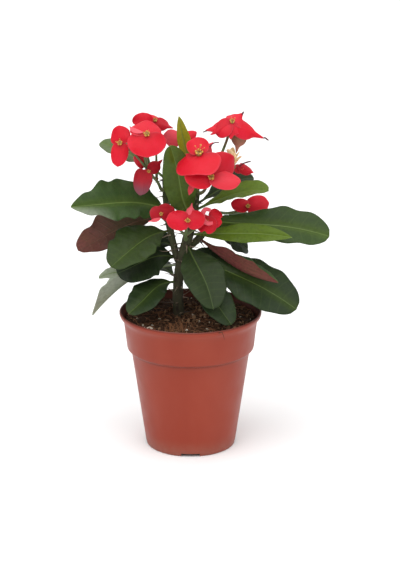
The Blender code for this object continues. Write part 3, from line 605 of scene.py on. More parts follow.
def make_piece(name, points, faces, materials, sides=None, attributes=None, smooth=True):
    """Makes an object at the origin from points in millimetres and a list of index arrays.

    sides gives each face its material's number; attributes are named rows of three numbers a point.
    """
    mesh = bpy.data.meshes.new(name)
    faces = [np.asarray(group) for group in (faces if isinstance(faces, list) else [faces])]
    points = np.asarray(points, float).reshape(-1, 3) * MM
    mesh.vertices.add(len(points))
    mesh.vertices.foreach_set("co", points.ravel())
    sizes = np.concatenate([np.full(len(group), group.shape[1]) for group in faces])
    corners = np.concatenate([group.ravel() for group in faces])
    mesh.loops.add(len(corners))
    mesh.loops.foreach_set("vertex_index", corners)
    mesh.polygons.add(len(sizes))
    mesh.polygons.foreach_set("loop_start", np.concatenate([[0], np.cumsum(sizes)[:-1]]))
    mesh.polygons.foreach_set("use_smooth", np.full(len(sizes), smooth))
    if sides is not None:
        mesh.polygons.foreach_set("material_index", np.asarray(sides, np.int32))
    for key, rows in (attributes or {}).items():
        layer = mesh.attributes.new(key, "FLOAT_VECTOR", "POINT")
        layer.data.foreach_set("vector", np.asarray(rows, float).ravel())
    for material in materials:
        mesh.materials.append(material)
    mesh.update(calc_edges=True)
    mesh.validate()
    piece = bpy.data.objects.new(name, mesh)
    bpy.context.scene.collection.objects.link(piece)
    return piece


def install(piece, slot, *nodes):
    """The piece rides on the plant's one body and stands for these nodes, whose solids it hides; slot is not
    used.
    """
    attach(piece, "root")
    if nodes:
        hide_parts(*nodes)


def turn_outward(piece):
    """Makes every face of a closed piece point outwards."""
    shape = bmesh.new()
    shape.from_mesh(piece.data)
    bmesh.ops.recalc_face_normals(shape, faces=shape.faces)
    shape.to_mesh(piece.data)
    shape.free()


def combine(piece, other, operation):
    """Adds the other closed shape to the piece for good, or takes it away."""
    modifier = piece.modifiers.new("combined", "BOOLEAN")
    modifier.operation = operation
    modifier.solver = "EXACT"
    modifier.object = other
    graph = bpy.context.evaluated_depsgraph_get()
    mesh = bpy.data.meshes.new_from_object(piece.evaluated_get(graph))
    piece.modifiers.clear()
    piece.data = mesh
    bpy.data.objects.remove(other)


def frames_along(middles, face):
    """Normals and side vectors along a midrib whose upper side looks towards face."""
    tangents = np.gradient(middles, axis=0)
    tangents /= np.linalg.norm(tangents, axis=1)[:, None]
    face = unit(face)
    normals = face - (tangents @ face)[:, None] * tangents
    normals /= np.linalg.norm(normals, axis=1)[:, None]
    return normals, np.cross(tangents, normals)


def tube_points(path, sides, swelling=None):
    """Rings of points around a path of (x, y, z, radius) rows.

    A point lies at middle + radius (cos a across + sin a beside). The first across vector is
    carried from ring to ring, so the tube doesn't twist.
    """
    middles = path[:, :3]
    tangents = np.gradient(middles, axis=0)
    tangents /= np.linalg.norm(tangents, axis=1)[:, None]
    across = np.empty_like(tangents)
    across[0] = unit(np.cross(tangents[0], NEARLY_AHEAD))
    for ring in range(1, len(path)):
        carried = across[ring - 1] - (across[ring - 1] @ tangents[ring]) * tangents[ring]
        across[ring] = unit(carried)
    beside = np.cross(across, tangents)
    angles = np.arange(sides) * 2.0 * math.pi / sides
    radii = path[:, 3, None] * (1.0 if swelling is None else swelling)
    cosines, sines = np.cos(angles)[None, :, None], np.sin(angles)[None, :, None]
    reach = cosines * across[:, None, :] + sines * beside[:, None, :]
    return middles[:, None, :] + radii[..., None] * reach


def closed_tube(path, sides, swelling=None):
    return closed_rings(tube_points(path, sides, swelling), path[0, :3], path[-1, :3])


class Joined:
    """Gathers many small closed shapes, and a row of three numbers a point, into one mesh."""

    def __init__(self):
        self.points = []
        self.quads = []
        self.triangles = []
        self.rows = []
        self.count = 0

    def add(self, points, quads, triangles=None, row=(0.0, 0.0, 0.0)):
        self.quads.append(quads + self.count)
        if triangles is not None:
            self.triangles.append(triangles + self.count)
        self.points.append(points)
        self.rows.append(np.broadcast_to(row, points.shape))
        self.count += len(points)

    def add_tube(self, path, sides, shade=0.0):
        points, (quads, triangles) = closed_tube(path, sides)
        self.add(points, quads, triangles, (shade, 0.0, 0.0))

    def piece(self, name, material, key="shade"):
        groups = [np.vstack(group) for group in (self.quads, self.triangles) if group]
        rows = {key: np.vstack(self.rows)}
        piece = make_piece(name, np.vstack(self.points), groups, [material], attributes=rows)
        turn_outward(piece)
        return piece


def lump_shape():
    """A ball of twelve points and twenty faces, the corners of an icosahedron."""
    golden = (1.0 + math.sqrt(5.0)) / 2.0
    corners = [(0.0, a, b * golden) for a in (-1, 1) for b in (-1, 1)]
    points = np.array([np.roll(corner, shift) for shift in range(3) for corner in corners])
    points /= np.linalg.norm(points[0])
    shape = bmesh.new()
    for point in points:
        shape.verts.new(point)
    bmesh.ops.convex_hull(shape, input=shape.verts)
    shape.verts.index_update()
    faces = [[vertex.index for vertex in face.verts] for face in shape.faces]
    points = np.array([vertex.co for vertex in shape.verts])
    shape.free()
    return points, np.array(faces)


# ---- Materials ----


class Finish:
    """One material and short ways to add and join its nodes."""

    def __init__(self, name, roughness, specular=0.5):
        self.material = bpy.data.materials.new(name)
        self.material.use_nodes = True
        self.tree = self.material.node_tree
        self.shader = self.tree.nodes["Principled BSDF"]
        self.shader.inputs["Roughness"].default_value = roughness
        self.shader.inputs["Specular IOR Level"].default_value = specular

    def feed(self, socket, value):
        """Links another node's output to the socket, or sets the socket to a number or colour."""
        if isinstance(value, bpy.types.NodeSocket):
            self.tree.links.new(value, socket)
        else:
            socket.default_value = value

    def place(self):
        """Object coordinates, in metres."""
        return self.tree.nodes.new("ShaderNodeTexCoord").outputs["Object"]

    def parts(self, vector):
        node = self.tree.nodes.new("ShaderNodeSeparateXYZ")
        self.feed(node.inputs[0], vector)
        return node.outputs

    def attribute(self, key):
        node = self.tree.nodes.new("ShaderNodeAttribute")
        node.attribute_name = key
        return self.parts(node.outputs["Vector"])

    def math(self, operation, first, second=0.0, third=0.0):
        node = self.tree.nodes.new("ShaderNodeMath")
        node.operation = operation
        for socket, value in zip(node.inputs, (first, second, third)):
            self.feed(socket, value)
        return node.outputs[0]

    def times(self, first, second):
        return self.math("MULTIPLY", first, second)

    def hypotenuse(self, first, second):
        return self.math("SQRT", self.math("ADD", self.times(first, first), self.times(second, second)))

    def rays(self, across, along, before, count):
        """Ridges that fan out from a point this far before the foot."""
        fan = self.math("DIVIDE", across, self.math("ADD", along, before))
        return self.math("SINE", self.times(fan, count))

    def ramp(self, value, low, high, start=0.0, end=1.0):
        """start below low, end above high, smooth between."""
        node = self.tree.nodes.new("ShaderNodeMapRange")
        node.interpolation_type = "SMOOTHSTEP"
        for socket, given in zip(node.inputs, (value, low, high, start, end)):
            self.feed(socket, given)
        return node.outputs[0]

    def mix(self, share, first, second):
        node = self.tree.nodes.new("ShaderNodeMix")
        node.data_type = "RGBA"
        colours = [socket for socket in node.inputs if socket.type == "RGBA"]
        for socket, value in zip((node.inputs["Factor"], *colours), (share, first, second)):
            self.feed(socket, value)
        return next(socket for socket in node.outputs if socket.type == "RGBA")

    def patches(self, colour, other, scale, detail, low, high, most):
        """Another colour in patches: none where a noise lies below low, most of it above high."""
        return self.mix(self.ramp(self.noise(scale, detail), low, high, 0.0, most), colour, other)

    def noise(self, scale, detail=4.0, stretch=(1.0, 1.0, 1.0), distortion=0.0):
        mapping = self.tree.nodes.new("ShaderNodeMapping")
        mapping.inputs["Scale"].default_value = stretch
        self.feed(mapping.inputs["Vector"], self.place())
        node = self.tree.nodes.new("ShaderNodeTexNoise")
        self.feed(node.inputs["Vector"], mapping.outputs[0])
        node.inputs["Scale"].default_value = scale
        node.inputs["Detail"].default_value = detail
        node.inputs["Distortion"].default_value = distortion
        return node.outputs[0]

    def bump(self, height, distance, strength=1.0, under=None):
        node = self.tree.nodes.new("ShaderNodeBump")
        node.inputs["Distance"].default_value = distance
        node.inputs["Strength"].default_value = strength
        self.feed(node.inputs["Height"], height)
        if under is not None:
            self.feed(node.inputs["Normal"], under)
        return node.outputs[0]

    def set(self, key, value):
        self.feed(self.shader.inputs[key], value)

    def grained(self, colour, scale, detail, distance, strength, stretch=(1.0, 1.0, 1.0)):
        """The finished material in this colour, with a fine grain."""
        self.set("Base Color", colour)
        self.set("Normal", self.bump(self.noise(scale, detail, stretch), distance, strength))
        return self.material


def plastic_finish(settings):
    """Moulded plastic with faint rubbed patches and a fine grain.

    Painted shade darkens the inside of the collar above the soil and the groove under the collar,
    the rim's top edge is darker, and dust gathers towards the foot.
    """
    finish = Finish("terracotta_plastic", 0.4, 0.35)
    rubbed = finish.ramp(finish.noise(28.0, 3.0, (1.0, 1.0, 0.45)), 0.42, 0.72, 0.0, 0.5)
    colour = finish.mix(rubbed, settings.plastic, settings.worn)
    across, ahead, height = finish.parts(finish.place())
    # How far a point lies from the axis, less the slant of the collar's wall.
    slanted = finish.math("MULTIPLY_ADD", height, -0.42, finish.hypotenuse(across, ahead))
    # Painted shade: the inside of the collar is darkened above the soil, where the wall shades it.
    inside = finish.ramp(slanted, 0.0092, 0.0100, 1.0, 0.0)
    above_soil = finish.ramp(height, 0.104, 0.108, 0.0, 0.85)
    colour = finish.mix(finish.times(inside, above_soil), colour, POT_INSIDE_PAINTED_SHADE)
    # Painted shade in the groove under the collar, and a darker top to the rim's edge.
    off_collar = finish.math("ABSOLUTE", finish.math("SUBTRACT", height, 0.0848))
    collar_groove_shade = finish.ramp(off_collar, 0.0006, 0.0026, 0.38, 0.0)
    rim_top_dark = finish.ramp(height, 0.1160, 0.1176, 0.0, 0.7)
    colour = finish.mix(finish.math("MAXIMUM", collar_groove_shade, rim_top_dark), colour, POT_GROOVE_SHADE_RIM_DARK)
    dust = finish.times(finish.ramp(height, 0.0, 0.016, 0.45, 0.0), finish.noise(160.0, 5.0))
    finish.set("Base Color", finish.mix(dust, colour, DUST))
    finish.set("Roughness", finish.ramp(finish.noise(60.0, 5.0), 0.3, 0.7, 0.36, 0.47))
    grain = finish.bump(finish.noise(900.0, 2.0), 0.00006, 0.5)
    finish.set("Normal", finish.bump(finish.noise(40.0, 2.0, (1.0, 1.0, 0.3)), 0.0007, 0.35, grain))
    return finish.material


def peat_finish(settings):
    finish = Finish("peat", 0.95, 0.15)
    colour = finish.patches(settings.peat, PEAT_LIGHT, 320.0, 6.0, 0.35, 0.7, 1.0)
    colour = finish.patches(colour, PEAT_FLECK, 1400.0, 2.0, 0.66, 0.74, 0.6)
    return finish.grained(colour, 900.0, 6.0, 0.0012, 1.0)


def grain_finish(name, colour, other, roughness):
    """Small loose grains and fibres: each one's own shade runs from one colour to the other."""
    finish = Finish(name, roughness, 0.25)
    shade = finish.attribute("shade")[0]
    mottled = finish.math("MULTIPLY_ADD", finish.noise(1500.0, 3.0), 0.5, finish.times(shade, 0.75))
    return finish.grained(finish.mix(mottled, colour, other), 2200.0, 3.0, 0.0004, 0.8)


def bark_finish(settings):
    """Old grey-brown bark below, greener above, with pale scars and lengthwise cracks."""
    finish = Finish("bark", 0.8, 0.3)
    height = finish.parts(finish.place())[2]
    mottling = finish.times(finish.noise(120.0, 4.0), 0.3)
    young = finish.math("ADD", finish.ramp(height, 0.15, 0.225, 0.15, 0.85), mottling)
    colour = finish.mix(young, settings.bark, settings.green_bark)
    cracks = finish.noise(330.0, 5.0, (1.0, 1.0, 0.28), 0.6)
    colour = finish.mix(finish.ramp(cracks, 0.52, 0.68, 0.0, 0.75), colour, BARK_CRACK)
    finish.set("Base Color", finish.patches(colour, BARK_SCAR, 210.0, 3.0, 0.6, 0.72, 0.6))
    finish.set("Normal", finish.bump(cracks, 0.0009, 0.9))
    return finish.material


def thorn_finish(settings):
    finish = Finish("thorn", 0.55, 0.4)
    colour = finish.mix(finish.attribute("shade")[0], settings.thorn, THORN_TIP)
    return finish.grained(colour, 1500.0, 3.0, 0.0002, 0.6, (1.0, 1.0, 0.3))


def leaf_finish(settings, upper):
    """Leaf blade: veined satin green above; paler, or maroon, and duller below.

    The attribute leaf_place holds (millimetres from the midrib, share of the length, vein
    number), and leaf_tone holds (dark, fresh, red). A dark below 0 paints the blade pale grey-green,
    which is painted sheen on some leaves' front halves and a painted highlight on leaf_left_folded.
    """
    name, roughness, specular = ("leaf_upper", 0.4, 0.19) if upper else ("leaf_under", 0.58, 0.22)
    finish = Finish(name, roughness, specular)
    off_rib, along, vein_number = finish.attribute("leaf_place")
    dark, fresh, red = finish.attribute("leaf_tone")
    cloud = finish.noise(48.0, 4.0, distortion=0.4)
    body = finish.mix(dark, settings.green, settings.deep)
    # Below a dark of 0 the blade is painted pale grey-green: painted sheen and painted highlight where the
    # tables set it.
    body = finish.mix(finish.times(dark, -1.0), body, settings.pale)
    body = finish.mix(fresh, body, settings.fresh)
    body = finish.mix(finish.math("SUBTRACT", fresh, 1.0), body, settings.golden)
    warm_middle = finish.times(finish.ramp(off_rib, 0.0, 8.0, 0.30, 0.0), finish.ramp(dark, 1.0, 0.6))
    body = finish.mix(warm_middle, body, settings.fresh)
    if not upper:
        body = finish.mix(0.3, body, settings.pale)
        maroon = finish.mix(finish.ramp(along, 0.45, 1.0), settings.maroon, settings.rose)
        maroon = finish.mix(finish.ramp(red, 1.0, 1.3), maroon, settings.rose)
        wander = finish.math("MULTIPLY_ADD", off_rib, 2.1, finish.times(cloud, 9.0))
        streaks = finish.ramp(finish.math("SINE", wander), -1.0, 1.0, 0.0, 0.22)
        maroon = finish.mix(streaks, maroon, LEAF_STREAK)
        body = finish.mix(finish.times(red, finish.ramp(cloud, 0.2, 0.6, 0.85, 1.0)), body, maroon)
    body = finish.mix(finish.ramp(cloud, 0.35, 0.75, 0.0, 0.45), body, finish.mix(0.3, body, LEAF_CLOUD))
    body = finish.patches(body, LEAF_PORE, 420.0, 3.0, 0.4, 0.7, 0.18)
    # Side veins: a narrow band wherever the vein number passes a whole number.
    wave = finish.math("PINGPONG", vein_number, 0.5)
    vein = finish.times(finish.ramp(wave, 0.0, 0.10, 1.0, 0.0), finish.ramp(off_rib, 0.4, 2.5, 0.35, 1.0))
    vein = finish.times(vein, finish.ramp(along, 0.86, 1.0, 1.0, 0.0))
    body = finish.mix(finish.times(vein, 0.055 if upper else 0.04), body, settings.rib)
    # Midrib: a pale line, wider at the foot than at the tip.
    rib_width = finish.ramp(along, 0.0, 1.0, 0.95, 0.25)
    rib = finish.ramp(finish.math("DIVIDE", off_rib, rib_width), 0.4, 1.0, 1.0, 0.0)
    rib_colour = finish.mix(finish.times(red, 0.85), settings.rib, RED_RIB)
    body = finish.mix(finish.times(rib, finish.ramp(dark, 0.5, 1.0, 0.75, 0.35)), body, rib_colour)
    finish.set("Base Color", body)
    glossiest, dullest = (0.38, 0.54) if upper else (0.55, 0.68)
    finish.set("Roughness", finish.ramp(cloud, 0.3, 0.7, glossiest, dullest))
    cells = finish.bump(finish.noise(1500.0, 2.0), 0.00012, 0.5)
    relief = finish.math("ADD", finish.times(vein, 0.6), rib)
    veined = finish.bump(relief, 0.00035, -0.5 if upper else 0.8, cells)
    finish.set("Normal", finish.bump(finish.noise(90.0, 3.0), 0.0016, 0.5, veined))
    return finish.material


def bract_finish(settings):
    """Velvety bract: bract_place holds (share across, share along, tone), as FLOWERS tells tones."""
    finish = Finish("red_bract", 0.48, 0.24)
    across, along, tone = finish.attribute("bract_place")
    colour = finish.mix(finish.ramp(along, 0.0, 0.4, 0.6, 0.0), settings.red, settings.shaded)
    colour = finish.patches(colour, BRACT_LIGHT, 75.0, 4.0, 0.42, 0.75, 0.4)
    colour = finish.patches(colour, BRACT_FLECK, 700.0, 3.0, 0.5, 0.8, 0.16)
    # Below a tone of 0 the bract darkens to deep red: the own colour of old, faded bracts, and painted shade
    # on bracts that lie in shade.
    colour = finish.mix(finish.times(finish.ramp(tone, 0.0, -1.0), 0.8), colour, settings.shaded)
    reach = finish.hypotenuse(across, finish.math("MULTIPLY_ADD", along, 2.0, -1.0))
    colour = finish.mix(finish.ramp(reach, 0.9, 1.0, 0.0, 0.22), colour, settings.pink)
    colour = finish.mix(finish.times(finish.ramp(tone, 0.0, 1.0), 0.85), colour, settings.pink)
    faded = finish.times(finish.ramp(tone, -1.1, -2.0), finish.ramp(along, 0.35, 0.95, 0.0, 0.9))
    finish.set("Base Color", finish.mix(faded, colour, BRACT_FADED))
    finish.set("Roughness", finish.ramp(finish.noise(95.0, 3.0), 0.3, 0.7, 0.42, 0.56))
    finish.set("Sheen Weight", 0.02)
    finish.set("Sheen Roughness", 0.45)
    fine = finish.bump(finish.noise(1300.0, 3.0), 0.0001, 0.5)
    veins = finish.bump(finish.rays(across, along, 0.35, 26.0), 0.00005, 0.4, fine)
    finish.set("Normal", finish.bump(finish.noise(100.0, 3.0), 0.0011, 0.4, veins))
    return finish.material


def papery_finish(name):
    """Thin leafy scale, brownish pink with darker veins."""
    finish = Finish(name, 0.6, 0.3)
    across, along, _ = finish.attribute("bract_place")
    colour = finish.mix(finish.ramp(along, 0.2, 0.9), SCALE_FOOT, SCALE_TIP)
    finish.set("Base Color", finish.patches(colour, SCALE_VEIN, 260.0, 4.0, 0.45, 0.7, 0.4))
    fine = finish.bump(finish.noise(1100.0, 3.0), 0.0002, 0.5)
    finish.set("Normal", finish.bump(finish.rays(across, along, 0.4, 22.0), 0.0001, 0.6, fine))
    return finish.material


def stalk_finish(settings):
    """Green stalk that reddens in patches."""
    finish = Finish("flower_stalk", 0.5, 0.4)
    colour = finish.patches(settings.stalk, STALK_BLUSH, 70.0, 3.0, 0.45, 0.7, 0.6)
    colour = finish.patches(colour, STALK_FLECK, 600.0, 3.0, 0.5, 0.8, 0.3)
    return finish.grained(colour, 900.0, 3.0, 0.0003, 0.6, (1.0, 1.0, 0.3))


def cup_finish(settings):
    """Flower cup: shade runs from green cup (0) over nectar gland (0.5) to red filament (1)."""
    finish = Finish("flower_cup", 0.35, 0.5)
    shade = finish.attribute("shade")[0]
    colour = finish.mix(finish.ramp(shade, 0.1, 0.4), CUP_GREEN, settings.nectar)
    colour = finish.mix(finish.ramp(shade, 0.6, 0.9), colour, FILAMENT)
    colour = finish.mix(finish.noise(1200.0, 2.0), colour, finish.mix(0.4, colour, POLLEN))
    return finish.grained(colour, 1800.0, 3.0, 0.0002, 0.5)


def cream_finish(settings):
    """Cream lobe, greenish at its foot, with a pink blush towards its tip as its tone tells."""
    finish = Finish("cream_bud", 0.5, 0.4)
    _, along, pinkness = finish.attribute("bract_place")
    colour = finish.mix(finish.ramp(along, 0.0, 0.55, 0.6, 0.0), settings.cream, CREAM_FOOT)
    colour = finish.mix(finish.times(pinkness, finish.ramp(along, 0.6, 1.0)), colour, CREAM_BLUSH)
    colour = finish.patches(colour, CREAM_SHADE, 500.0, 3.0, 0.4, 0.8, 0.25)
    return finish.grained(colour, 1100.0, 3.0, 0.0002, 0.6)


def floor_finish(settings):
    """Plain matt floor, clouded by a hardly visible trace of grey."""
    finish = Finish("studio_floor", 0.9, 0.2)
    greyer = tuple(0.985 * part for part in settings.floor[:3]) + (1.0,)
    finish.set("Base Color", finish.mix(finish.noise(3.0, 2.0), settings.floor, greyer))
    return finish.material


# ---- Pot ----


def finer_outline(outline, spacing):
    """The outline with points added on its straights, so that none is further from the next than spacing."""
    rows = np.array(outline, float)
    steps = np.maximum(1, np.ceil(np.linalg.norm(np.diff(rows, axis=0), axis=1) / spacing)).astype(int)
    spans = [
        start + (end - start) * np.arange(count)[:, None] / count
        for start, end, count in zip(rows, rows[1:], steps)
    ]
    return np.vstack([*spans, rows[-1:]])


def notch_cutter(settings, angle):
    """Block through the foot of the pot at this angle around it."""
    bpy.ops.mesh.primitive_cube_add(size=1.0)
    cutter = bpy.context.object
    width, height = settings.notch_width, settings.notch_height
    foot = NOTCH_RADIUS * MM
    place = Matrix.Translation((foot * math.cos(angle), foot * math.sin(angle), 0.0))
    turn = Matrix.Rotation(angle + 0.5 * math.pi, 4, "Z")
    cutter.data.transform(place @ turn @ Matrix.Diagonal((width, 0.85 * width, 2.0 * height, 1.0)))
    return cutter


class PLANT_OT_pot(bpy.types.Operator):
    """Turn the plastic pot with its collar and rolled lip, and cut its drain notches"""

    bl_idname = "plant.pot"
    bl_label = "Pot"

    def execute(self, context):
        settings = context.scene.plant_pot
        outline = np.array(POT_OUTLINE) * (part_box("pot")[1].z / MM / max(row[1] for row in POT_OUTLINE))
        rings = turned_rings(finer_outline(outline, OUTLINE_STEP), POT_SEGMENTS)
        points, faces = closed_rings(rings, (0.0, 0.0, outline[0, 1]), (0.0, 0.0, outline[-1, 1]))
        pot = make_piece("plant_pot", points, faces, [plastic_finish(settings)])
        turn_outward(pot)
        for index in range(settings.notches):
            angle = -0.5 * math.pi + index * 2.0 * math.pi / settings.notches
            combine(pot, notch_cutter(settings, angle), "DIFFERENCE")
        pot.data.set_sharp_from_angle(angle=SHARP_EDGE)
        install(pot, "terracotta_plastic", "pot")
        return {"FINISHED"}


# ---- Soil ----


def soil_height(x, y):
    """Height of the soil in millimetres: a low mound on the solid's own level, with clods and crumbs."""
    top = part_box("soil")[1].z / MM
    mound = -MOUND_HEIGHT * (np.hypot(x, y) / MOUND_RADIUS) ** 2
    flat = np.stack([x, y, np.zeros_like(x)], axis=-1)
    clods = sum(height * lattice_noise(flat, cell, seed) for height, cell, seed in CLODS)
    return top - MOUND_DROP + mound + clods


def scattered(count, radius, random, middle=(0.0, 0.0)):
    """Points spread evenly over a disc, in millimetres."""
    angle = random.uniform(0.0, 2.0 * math.pi, count)
    reach = radius * np.sqrt(random.uniform(0.0, 1.0, count))
    return reach * np.cos(angle) + middle[0], reach * np.sin(angle) + middle[1]


def random_turns(count, random):
    """Rotation matrices from random unit quaternions."""
    q = random.normal(size=(count, 4))
    q /= np.linalg.norm(q, axis=1)[:, None]
    w, x, y, z = q.T
    return np.stack([
        1 - 2 * (y * y + z * z), 2 * (x * y - z * w), 2 * (x * z + y * w),
        2 * (x * y + z * w), 1 - 2 * (x * x + z * z), 2 * (y * z - x * w),
        2 * (x * z - y * w), 2 * (y * z + x * w), 1 - 2 * (x * x + y * y),
    ], axis=-1).reshape(count, 3, 3)


def lumps(name, count, radius, sizes, flatness, rise, material, seed, middle=(0.0, 0.0)):
    """Many small uneven balls lying on the soil within radius of middle, joined in one mesh.

    flatness squeezes each ball before it is turned; rise is the share of its size that its middle
    lies above the soil.
    """
    random = np.random.default_rng(seed)
    ball, faces = lump_shape()
    x, y = scattered(count, radius, random, middle)
    size = random.uniform(*sizes, count) * random.uniform(0.6, 1.0, count)
    shape = ball[None] * random.uniform(0.7, 1.3, (count, len(ball), 1)) * size[:, None, None]
    shape = shape * np.array((1.0, 1.0, flatness))
    shape = np.einsum("nij,nkj->nki", random_turns(count, random), shape)
    shape += np.stack([x, y, soil_height(x, y) + size * rise], axis=-1)[:, None, :]
    all_faces = (faces[None] + (np.arange(count) * len(ball))[:, None, None]).reshape(-1, 3)
    shade = np.repeat(random.uniform(0.0, 1.0, count), len(ball))
    rows = np.stack([shade, shade, shade], axis=-1)
    points = shape.reshape(-1, 3)
    piece = make_piece(name, points, all_faces, [material], attributes={"shade": rows}, smooth=False)
    turn_outward(piece)
    install(piece, "peat_soil")


def soil_bed(material):
    """The whole body of peat: rings of its uneven top, its side along the pot's wall, its flat bottom."""
    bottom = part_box("soil")[0].z / MM
    radii = np.linspace(0.4, SOIL_RADIUS, SOIL_RINGS)
    top = turned_rings(np.column_stack([radii, np.zeros(SOIL_RINGS)]), SOIL_SEGMENTS)
    top[..., 2] = soil_height(top[..., 0], top[..., 1])
    side = turned_rings([*SOIL_SIDE, (SOIL_BOTTOM_RADIUS, bottom), (0.5, bottom)], SOIL_SEGMENTS)
    start, end = (0.0, 0.0, top[0, :, 2].mean()), (0.0, 0.0, bottom)
    bed = make_piece("soil_bed", *closed_rings(np.concatenate([top, side]), start, end), [material])
    turn_outward(bed)
    install(bed, "peat_soil", "soil")


def add_fibres(joined, count, random):
    """Curved coir fibres that lie on the soil and rise a little in their middle.

    Those around the middle are drawn a fifth of the way to the front edge.
    """
    x, y = scattered(count, COIR_REACH, random)
    y = np.where(np.abs(x) < 34.0, y - 0.2 * (y + 36.0), y)
    headings = random.uniform(0.0, 2.0 * math.pi, count)
    lengths = random.uniform(*COIR_LENGTHS, count)
    shades = random.uniform(0.0, 1.0, count)
    t = np.linspace(0.0, 1.0, 7)
    for start_x, start_y, heading, length, shade in zip(x, y, headings, lengths, shades):
        turn = heading + random.uniform(-1.6, 1.6) * t
        px = start_x + length * t * np.cos(turn)
        py = start_y + length * t * np.sin(turn)
        shrink = np.minimum(1.0, COIR_LIMIT / np.maximum(np.hypot(px, py), 1.0))
        px, py = px * shrink, py * shrink
        pz = soil_height(px, py) + 0.5 + random.uniform(0.3, 2.2) * np.sin(math.pi * t)
        radius = 0.16 + 0.14 * random.uniform() * np.sin(math.pi * t)
        joined.add_tube(np.stack([px, py, pz, np.maximum(radius, 0.08)], axis=-1), 4, shade)


def add_straws(joined, random):
    """Short straws that stand up out of the peat in a tuft in front of the stem."""
    t = np.linspace(0.0, 1.0, 6)
    for start_x, start_y in zip(*scattered(STRAWS, STRAW_REACH, random, STRAW_MIDDLE)):
        heading = random.uniform(0.2 * math.pi, 0.95 * math.pi)
        length, height = random.uniform(2.0, 7.0), random.uniform(3.0, 8.5)
        px = start_x + length * t * math.cos(heading)
        py = start_y + 0.4 * length * t
        pz = soil_height(px, py)[0] - 0.4 + height * np.sin(0.5 * math.pi * t)
        joined.add_tube(np.stack([px, py, pz, 0.3 - 0.2 * t], axis=-1), 4, random.uniform(1.0, 1.9))


class PLANT_OT_soil(bpy.types.Operator):
    """Fill the pot with crumbly peat, coconut fibres and perlite grains"""

    bl_idname = "plant.soil"
    bl_label = "Soil"

    def execute(self, context):
        settings = context.scene.plant_soil
        soil_bed(peat_finish(settings))

        crumb = grain_finish("peat_crumb", settings.peat, CRUMB, 0.95)
        chip = grain_finish("bark_chip", CHIP_DARK, CHIP_LIGHT, 0.85)
        pale = grain_finish("perlite_grain", PERLITE_SHADE, settings.perlite, 0.8)
        # name, how many, radius of their disc, sizes, flatness, rise, finish, seed, middle of the disc
        lumps("peat_crumbs", settings.crumbs, 53.0, (0.5, 1.7), 0.8, 0.2, crumb, 11)
        lumps("bark_chips", 90, 52.0, (1.2, 3.0), 0.35, 0.25, chip, 12)
        lumps("perlite_grains", settings.grains, 52.0, (0.7, 1.5), 0.85, 0.3, pale, 13)
        lumps("large_perlite_grains", 7, 8.0, (1.0, 2.0), 0.85, 0.35, pale, 14, (-36.0, -28.0))
        lumps("front_crumbs", 45, 17.0, (0.5, 1.1), 0.8, 0.3, chip, 15, (12.0, -34.0))

        random = np.random.default_rng(21)
        fibres = Joined()
        add_fibres(fibres, settings.fibres, random)
        add_straws(fibres, random)
        fibres.add_tube(np.array(TWIG), 5, -0.6)
        coir = grain_finish("coir_fibre", COIR_DARK, settings.coir, 0.75)
        install(fibres.piece("coir_fibres", coir), "peat_soil")
        return {"FINISHED"}


# ---- Stem ----


def thorn_path(foot, out, lift, length, curl):
    """Five rings of a thorn, thinning to a point.

    It runs straight out of the bark and bends by curl towards the lift vector.
    """
    t, radii = np.array(THORN_RINGS).T
    middles = foot + np.outer(length * t, out) + np.outer(length * curl * t**2, lift)
    return np.column_stack([middles, radii])


def thorns_on(name, joined, length, random):
    """Pairs of thorns at each leaf scar; the scars climb the stem in a spiral of golden angles."""
    path = smooth_path(STEMS[name], STEM_SAMPLES)
    first, last, gap = THORN_SPANS[name]
    walked = np.concatenate([[0.0], np.cumsum(np.linalg.norm(np.diff(path[:, :3], axis=0), axis=1))])
    places = np.arange(walked[first], walked[last], gap)
    for number, place in enumerate(places):
        ring = np.array([np.interp(place, walked, path[:, column]) for column in range(4)])
        after = np.searchsorted(walked, place)
        tangent = unit(path[after, :3] - path[after - 1, :3])
        side = unit(np.cross(tangent, NEARLY_AHEAD))
        other = np.cross(tangent, side)
        for half in (-1.0, 1.0):
            angle = number * GOLDEN_ANGLE + half * 0.42
            out = math.cos(angle) * side + math.sin(angle) * other
            foot = ring[:3] + out * (ring[3] - 0.5)
            tilt = 0.35 * random.uniform(-1.0, 1.0) * tangent + 0.12 * half * np.cross(tangent, out)
            heading = unit(out + tilt)
            size = length * random.uniform(0.65, 1.25) * (0.75 if place > 0.85 * walked[-1] else 1.0)
            thorn = thorn_path(foot, heading, tangent, size, random.uniform(-0.15, 0.25))
            joined.add_tube(thorn, 6, random.uniform(0.0, 1.0))


def bark_tube(name, material):
    """One closed stem. Its radius swells in knuckles where leaves once stood, and its skin is rough."""
    path = smooth_path(STEMS[name], 170)
    rings = tube_points(path, BARK_SIDES)
    along = np.arange(len(path))[:, None] / KNUCKLE_GAP
    around = np.arange(BARK_SIDES)[None, :] * 2.0 * math.pi / BARK_SIDES
    knuckles = KNUCKLE_HEIGHT * np.maximum(0.0, np.cos(around - along * GOLDEN_ANGLE)) ** 4
    rough = 0.05 * lattice_noise(rings, 3.0, 4) + 0.03 * lattice_noise(rings, 1.2, 9)
    tube = make_piece(f"stem_{name}", *closed_tube(path, BARK_SIDES, 1.0 + knuckles + rough), [material])
    turn_outward(tube)
    return tube


class PLANT_OT_stem(bpy.types.Operator):
    """Grow the barky stem with its side branches and set thorns along it"""

    bl_idname = "plant.stem"
    bl_label = "Stem and thorns"

    def execute(self, context):
        settings = context.scene.plant_stem
        bark = bark_finish(settings)
        stem, *branches = [bark_tube(name, bark) for name in STEMS]
        for branch in branches:
            combine(stem, branch, "UNION")
        stem.name = "stem_bark"
        stem.data.shade_smooth()
        install(stem, "bark", "stem")

        random = np.random.default_rng(31)
        thorns = Joined()
        for name in STEMS:
            thorns_on(name, thorns, settings.thorn_length / MM, random)
        install(thorns.piece("thorns", thorn_finish(settings)), "bark")
        return {"FINISHED"}


# ---- Leaves ----


